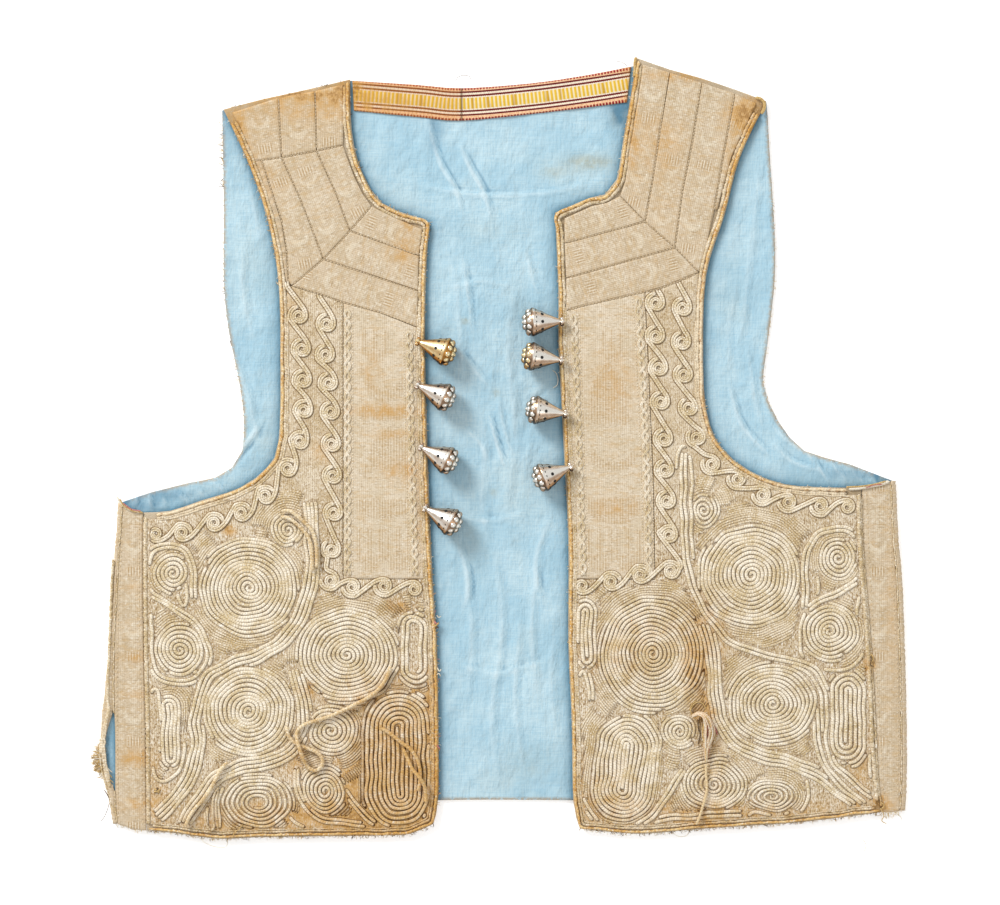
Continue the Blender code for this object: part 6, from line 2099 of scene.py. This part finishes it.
# Along the axis from the tip, and the radius there: collar, cone, rim and dome.
BUTTON_PROFILE = (
    (0.3, 0.7), (0.6, 1.3), (1.2, 1.55), (1.8, 1.35), (2.2, 1), (2.6, 1.1), (6, 2.6), (10, 4.45), (14, 6.3),
    (17.6, 7.85), (18.2, 8), (18.5, 8.3), (18.9, 8.6), (19.8, 8.7), (20.4, 8.5), (20.9, 8), (21.6, 7.8),
    (22.6, 7.2), (23.6, 6.1), (24.5, 4.4), (25, 2.4), (25.2, 0.6),
)
BUTTON_SIDES = 40
# The way that the painted highlight faces.
LIGHT_WAY = np.array([0.0, 0.2, 0.98])
HOLE_SLOT = 1
BEAD_SLOT = 2
# Dark discs standing for the shade inside the holes round the cone and the slots round the rim.
STUDS = rows_of(Stud, ((14.2, 0.46, 1.0, 8, 0, 10), (18.05, 0.0377, 0.5, 18, 0.5, 6)))
STUD_SINK = 0.4
STUD_RISE = 0.12
# Two rings of grains on the dome, the ring of the collar, and the grain on top.
BEADS = rows_of(Bead, (
    (21.9, 6.4, 1.85, 11, 0, BEAD_SLOT, 6, 10), (23.9, 3.2, 1.9, 6, 0.5, BEAD_SLOT, 6, 10),
    (1.9, 1.9, 1.15, 5, 0, 0, 5, 8), (24.9, 0, 1.3, 1, 0, BEAD_SLOT, 6, 10),
))
DOME_ALONG = 20.2
# The painted light of the buttons: how much less the dome takes, how much of each grain's highlight follows
# the whole button's upper side, each grain's lift, and the painted streaks of reflection round the cone.
DOME_SHINE = -0.55
BEAD_SHARE = 0.45
BEAD_SHINE = 0.22
STREAKS = 7
STREAK_DEPTH = 0.16
STREAK_SHIFT = 0.6
SHARP_ANGLE = 42


def turned_part(profile, sides, slot):
    """A closed turned form round +Z, its ends drawn in to small flat caps."""
    rings = [at_height(radius * circle(sides), along) for along, radius in profile]
    points = np.concatenate(rings)
    return placed_part(points, tube_faces(len(rings), sides), points[:, :2] + points[:, 2:], slot)


def bead_part(centre, radius, slot, rings, sides):
    """A small closed ball."""
    rows = np.linspace(0.12, math.pi - 0.12, rings)
    ball = turned_part([(-radius * math.cos(row), radius * math.sin(row)) for row in rows], sides, slot)
    return ball._replace(points=ball.points + centre)


def ring_of(along, reach, count, shift=0.0):
    return at_height(reach * circle(count, shift), along)


def stud_part(centre, down, radius, sides):
    """A short dark disc, standing for the shade inside a hole or slot, that faces outwards from the cone,
    turned down by a share of its way out.
    """
    outward = unit(centre * (1, 1, 0)) - (0, 0, down)
    outward = unit(outward)
    across = unit(np.cross((0.0, 0.0, 1.0), outward))
    ring = radius * circle(sides) @ np.stack([across, np.cross(outward, across)])
    points = np.concatenate([centre - outward * STUD_SINK + ring, centre + outward * STUD_RISE + ring])
    return placed_part(points, tube_faces(2, sides), points[:, :2], HOLE_SLOT)


def button_shine(part, tip, along, from_tip):
    """How much painted highlight each point takes: the upper side most, in streaks on the cone, on each
    grain's own top, the dome less.
    """
    out = part.points - tip
    out -= np.outer(out @ along, along)
    out = unit(out, 0.3)
    if part.slot == BEAD_SLOT:
        own = unit(part.points - part.points.mean(axis=0))
        return (BEAD_SHARE * out + (1 - BEAD_SHARE) * own) @ LIGHT_WAY + BEAD_SHINE
    turn = np.arctan2(out @ np.cross(along, LIGHT_WAY), out @ LIGHT_WAY)
    shine = out @ LIGHT_WAY + STREAK_DEPTH * np.cos(STREAKS * turn + STREAK_SHIFT)
    return shine + np.where(from_tip > DOME_ALONG, DOME_SHINE, 0.0)


def button_parts():
    """The button upright on its tip: a cone with dark discs for the shade in its holes, a rim with dark discs
    for its slots, a dome of grains, a collar.
    """
    parts = [turned_part(BUTTON_PROFILE, BUTTON_SIDES, 0)]
    for row in STUDS:
        reach = float(np.interp(row.along, *np.transpose(BUTTON_PROFILE)))
        parts.extend(stud_part(centre, row.down, row.radius, row.sides)
                     for centre in ring_of(row.along, reach, row.count, row.shift))
    for row in BEADS:
        parts.extend(bead_part(centre, row.radius, row.slot, row.rings, row.sides)
                     for centre in ring_of(row.along, row.reach, row.count, row.shift))
    return parts


def make_buttons():
    upright = button_parts()
    for row in BUTTONS:
        tip = np.array((row.tip_x, row.tip_y, BUTTON_TIP_HEIGHT))
        way = Vector((row.base_x - row.tip_x, row.base_y - row.tip_y, 0.0)).normalized()
        rise = 0.0
        for _ in range(SETTLING_STEPS):
            rim_centre = LINING_TOP + GAP + BUTTON_RADIUS * math.cos(rise)
            rise = math.asin((rim_centre - BUTTON_TIP_HEIGHT) / BUTTON_RIM)
        along = way * math.cos(rise) + Vector((0, 0, math.sin(rise)))
        turn = np.array(along.to_track_quat("Z", "Y").to_matrix())
        parts = [part._replace(points=part.points @ turn.T + tip) for part in upright]
        shine = [button_shine(part, tip, np.array(along), still.points[:, 2])
                 for part, still in zip(parts, upright)]
        piece = mesh_piece(row.name + "_look", parts, [row.cone, HOLE_SHADE, row.dome], row.name,
                           {"rubbed": np.concatenate(shine)})
        piece.data.set_sharp_from_angle(angle=math.radians(SHARP_ANGLE))


# ---------------------------------------------------------------- floor and light

# Sizes and places here are in metres.
FLOOR_REACH = 3.0
FLOOR_LEVEL = -0.00005
ROOM_LIGHT = 0.64
LAMPS = (
    ("key_lamp", (-2.4, 2.7, 2.5), 1.6, 147.0),
    ("fill_lamp", (1.4, -1.0, 1.6), 1.4, 5.0),
)


def make_stage():
    mesh = bpy.data.meshes.new("floor")
    corners = [(FLOOR_REACH * x, FLOOR_REACH * y, 0) for x, y in ((-1, -1), (1, -1), (1, 1), (-1, 1))]
    mesh.from_pydata(corners, [], [(0, 1, 2, 3)])
    mesh.materials.append(floor_material())
    floor = bpy.data.objects.new("floor", mesh)
    floor.location.z = FLOOR_LEVEL
    bpy.context.scene.collection.objects.link(floor)
    world = bpy.data.worlds.new("room")
    world.use_nodes = True
    light = world.node_tree.nodes["Background"].inputs
    light["Color"].default_value = (1.0, 1.0, 1.0, 1.0)
    light["Strength"].default_value = ROOM_LIGHT
    bpy.context.scene.world = world
    for name, place, size, power in LAMPS:
        data = bpy.data.lights.new(name, "AREA")
        data.shape = "DISK"
        data.size = size
        data.energy = power
        lamp = bpy.data.objects.new(name, data)
        lamp.location = place
        lamp.rotation_mode = "QUATERNION"
        lamp.rotation_quaternion = (-Vector(place)).to_track_quat("-Z", "Y")
        bpy.context.scene.collection.objects.link(lamp)


# ---------------------------------------------------------------- the garment

COVER = Cover(("front_left", "front_right", "side_band_left", "side_band_right"))

make_camera()
make_loose_cords()
make_back()
make_neck_ribbon()
make_front("left")
make_front("right")
make_side("left", LEFT_FOLD)
make_side("right", RIGHT_FOLD)
make_field("left", LEFT_COILS, LEFT_SCROLLS, LEFT_RUNS)
make_field("right", RIGHT_COILS, RIGHT_SCROLLS, RIGHT_RUNS)
make_ribbons()
make_plastron("left", LEFT_SHAPES)
make_plastron("right", RIGHT_SHAPES)
make_edge_cords()
make_seams()
make_threads()
make_buttons()
make_stage()
bpy.context.scene.view_settings.view_transform = "Standard"
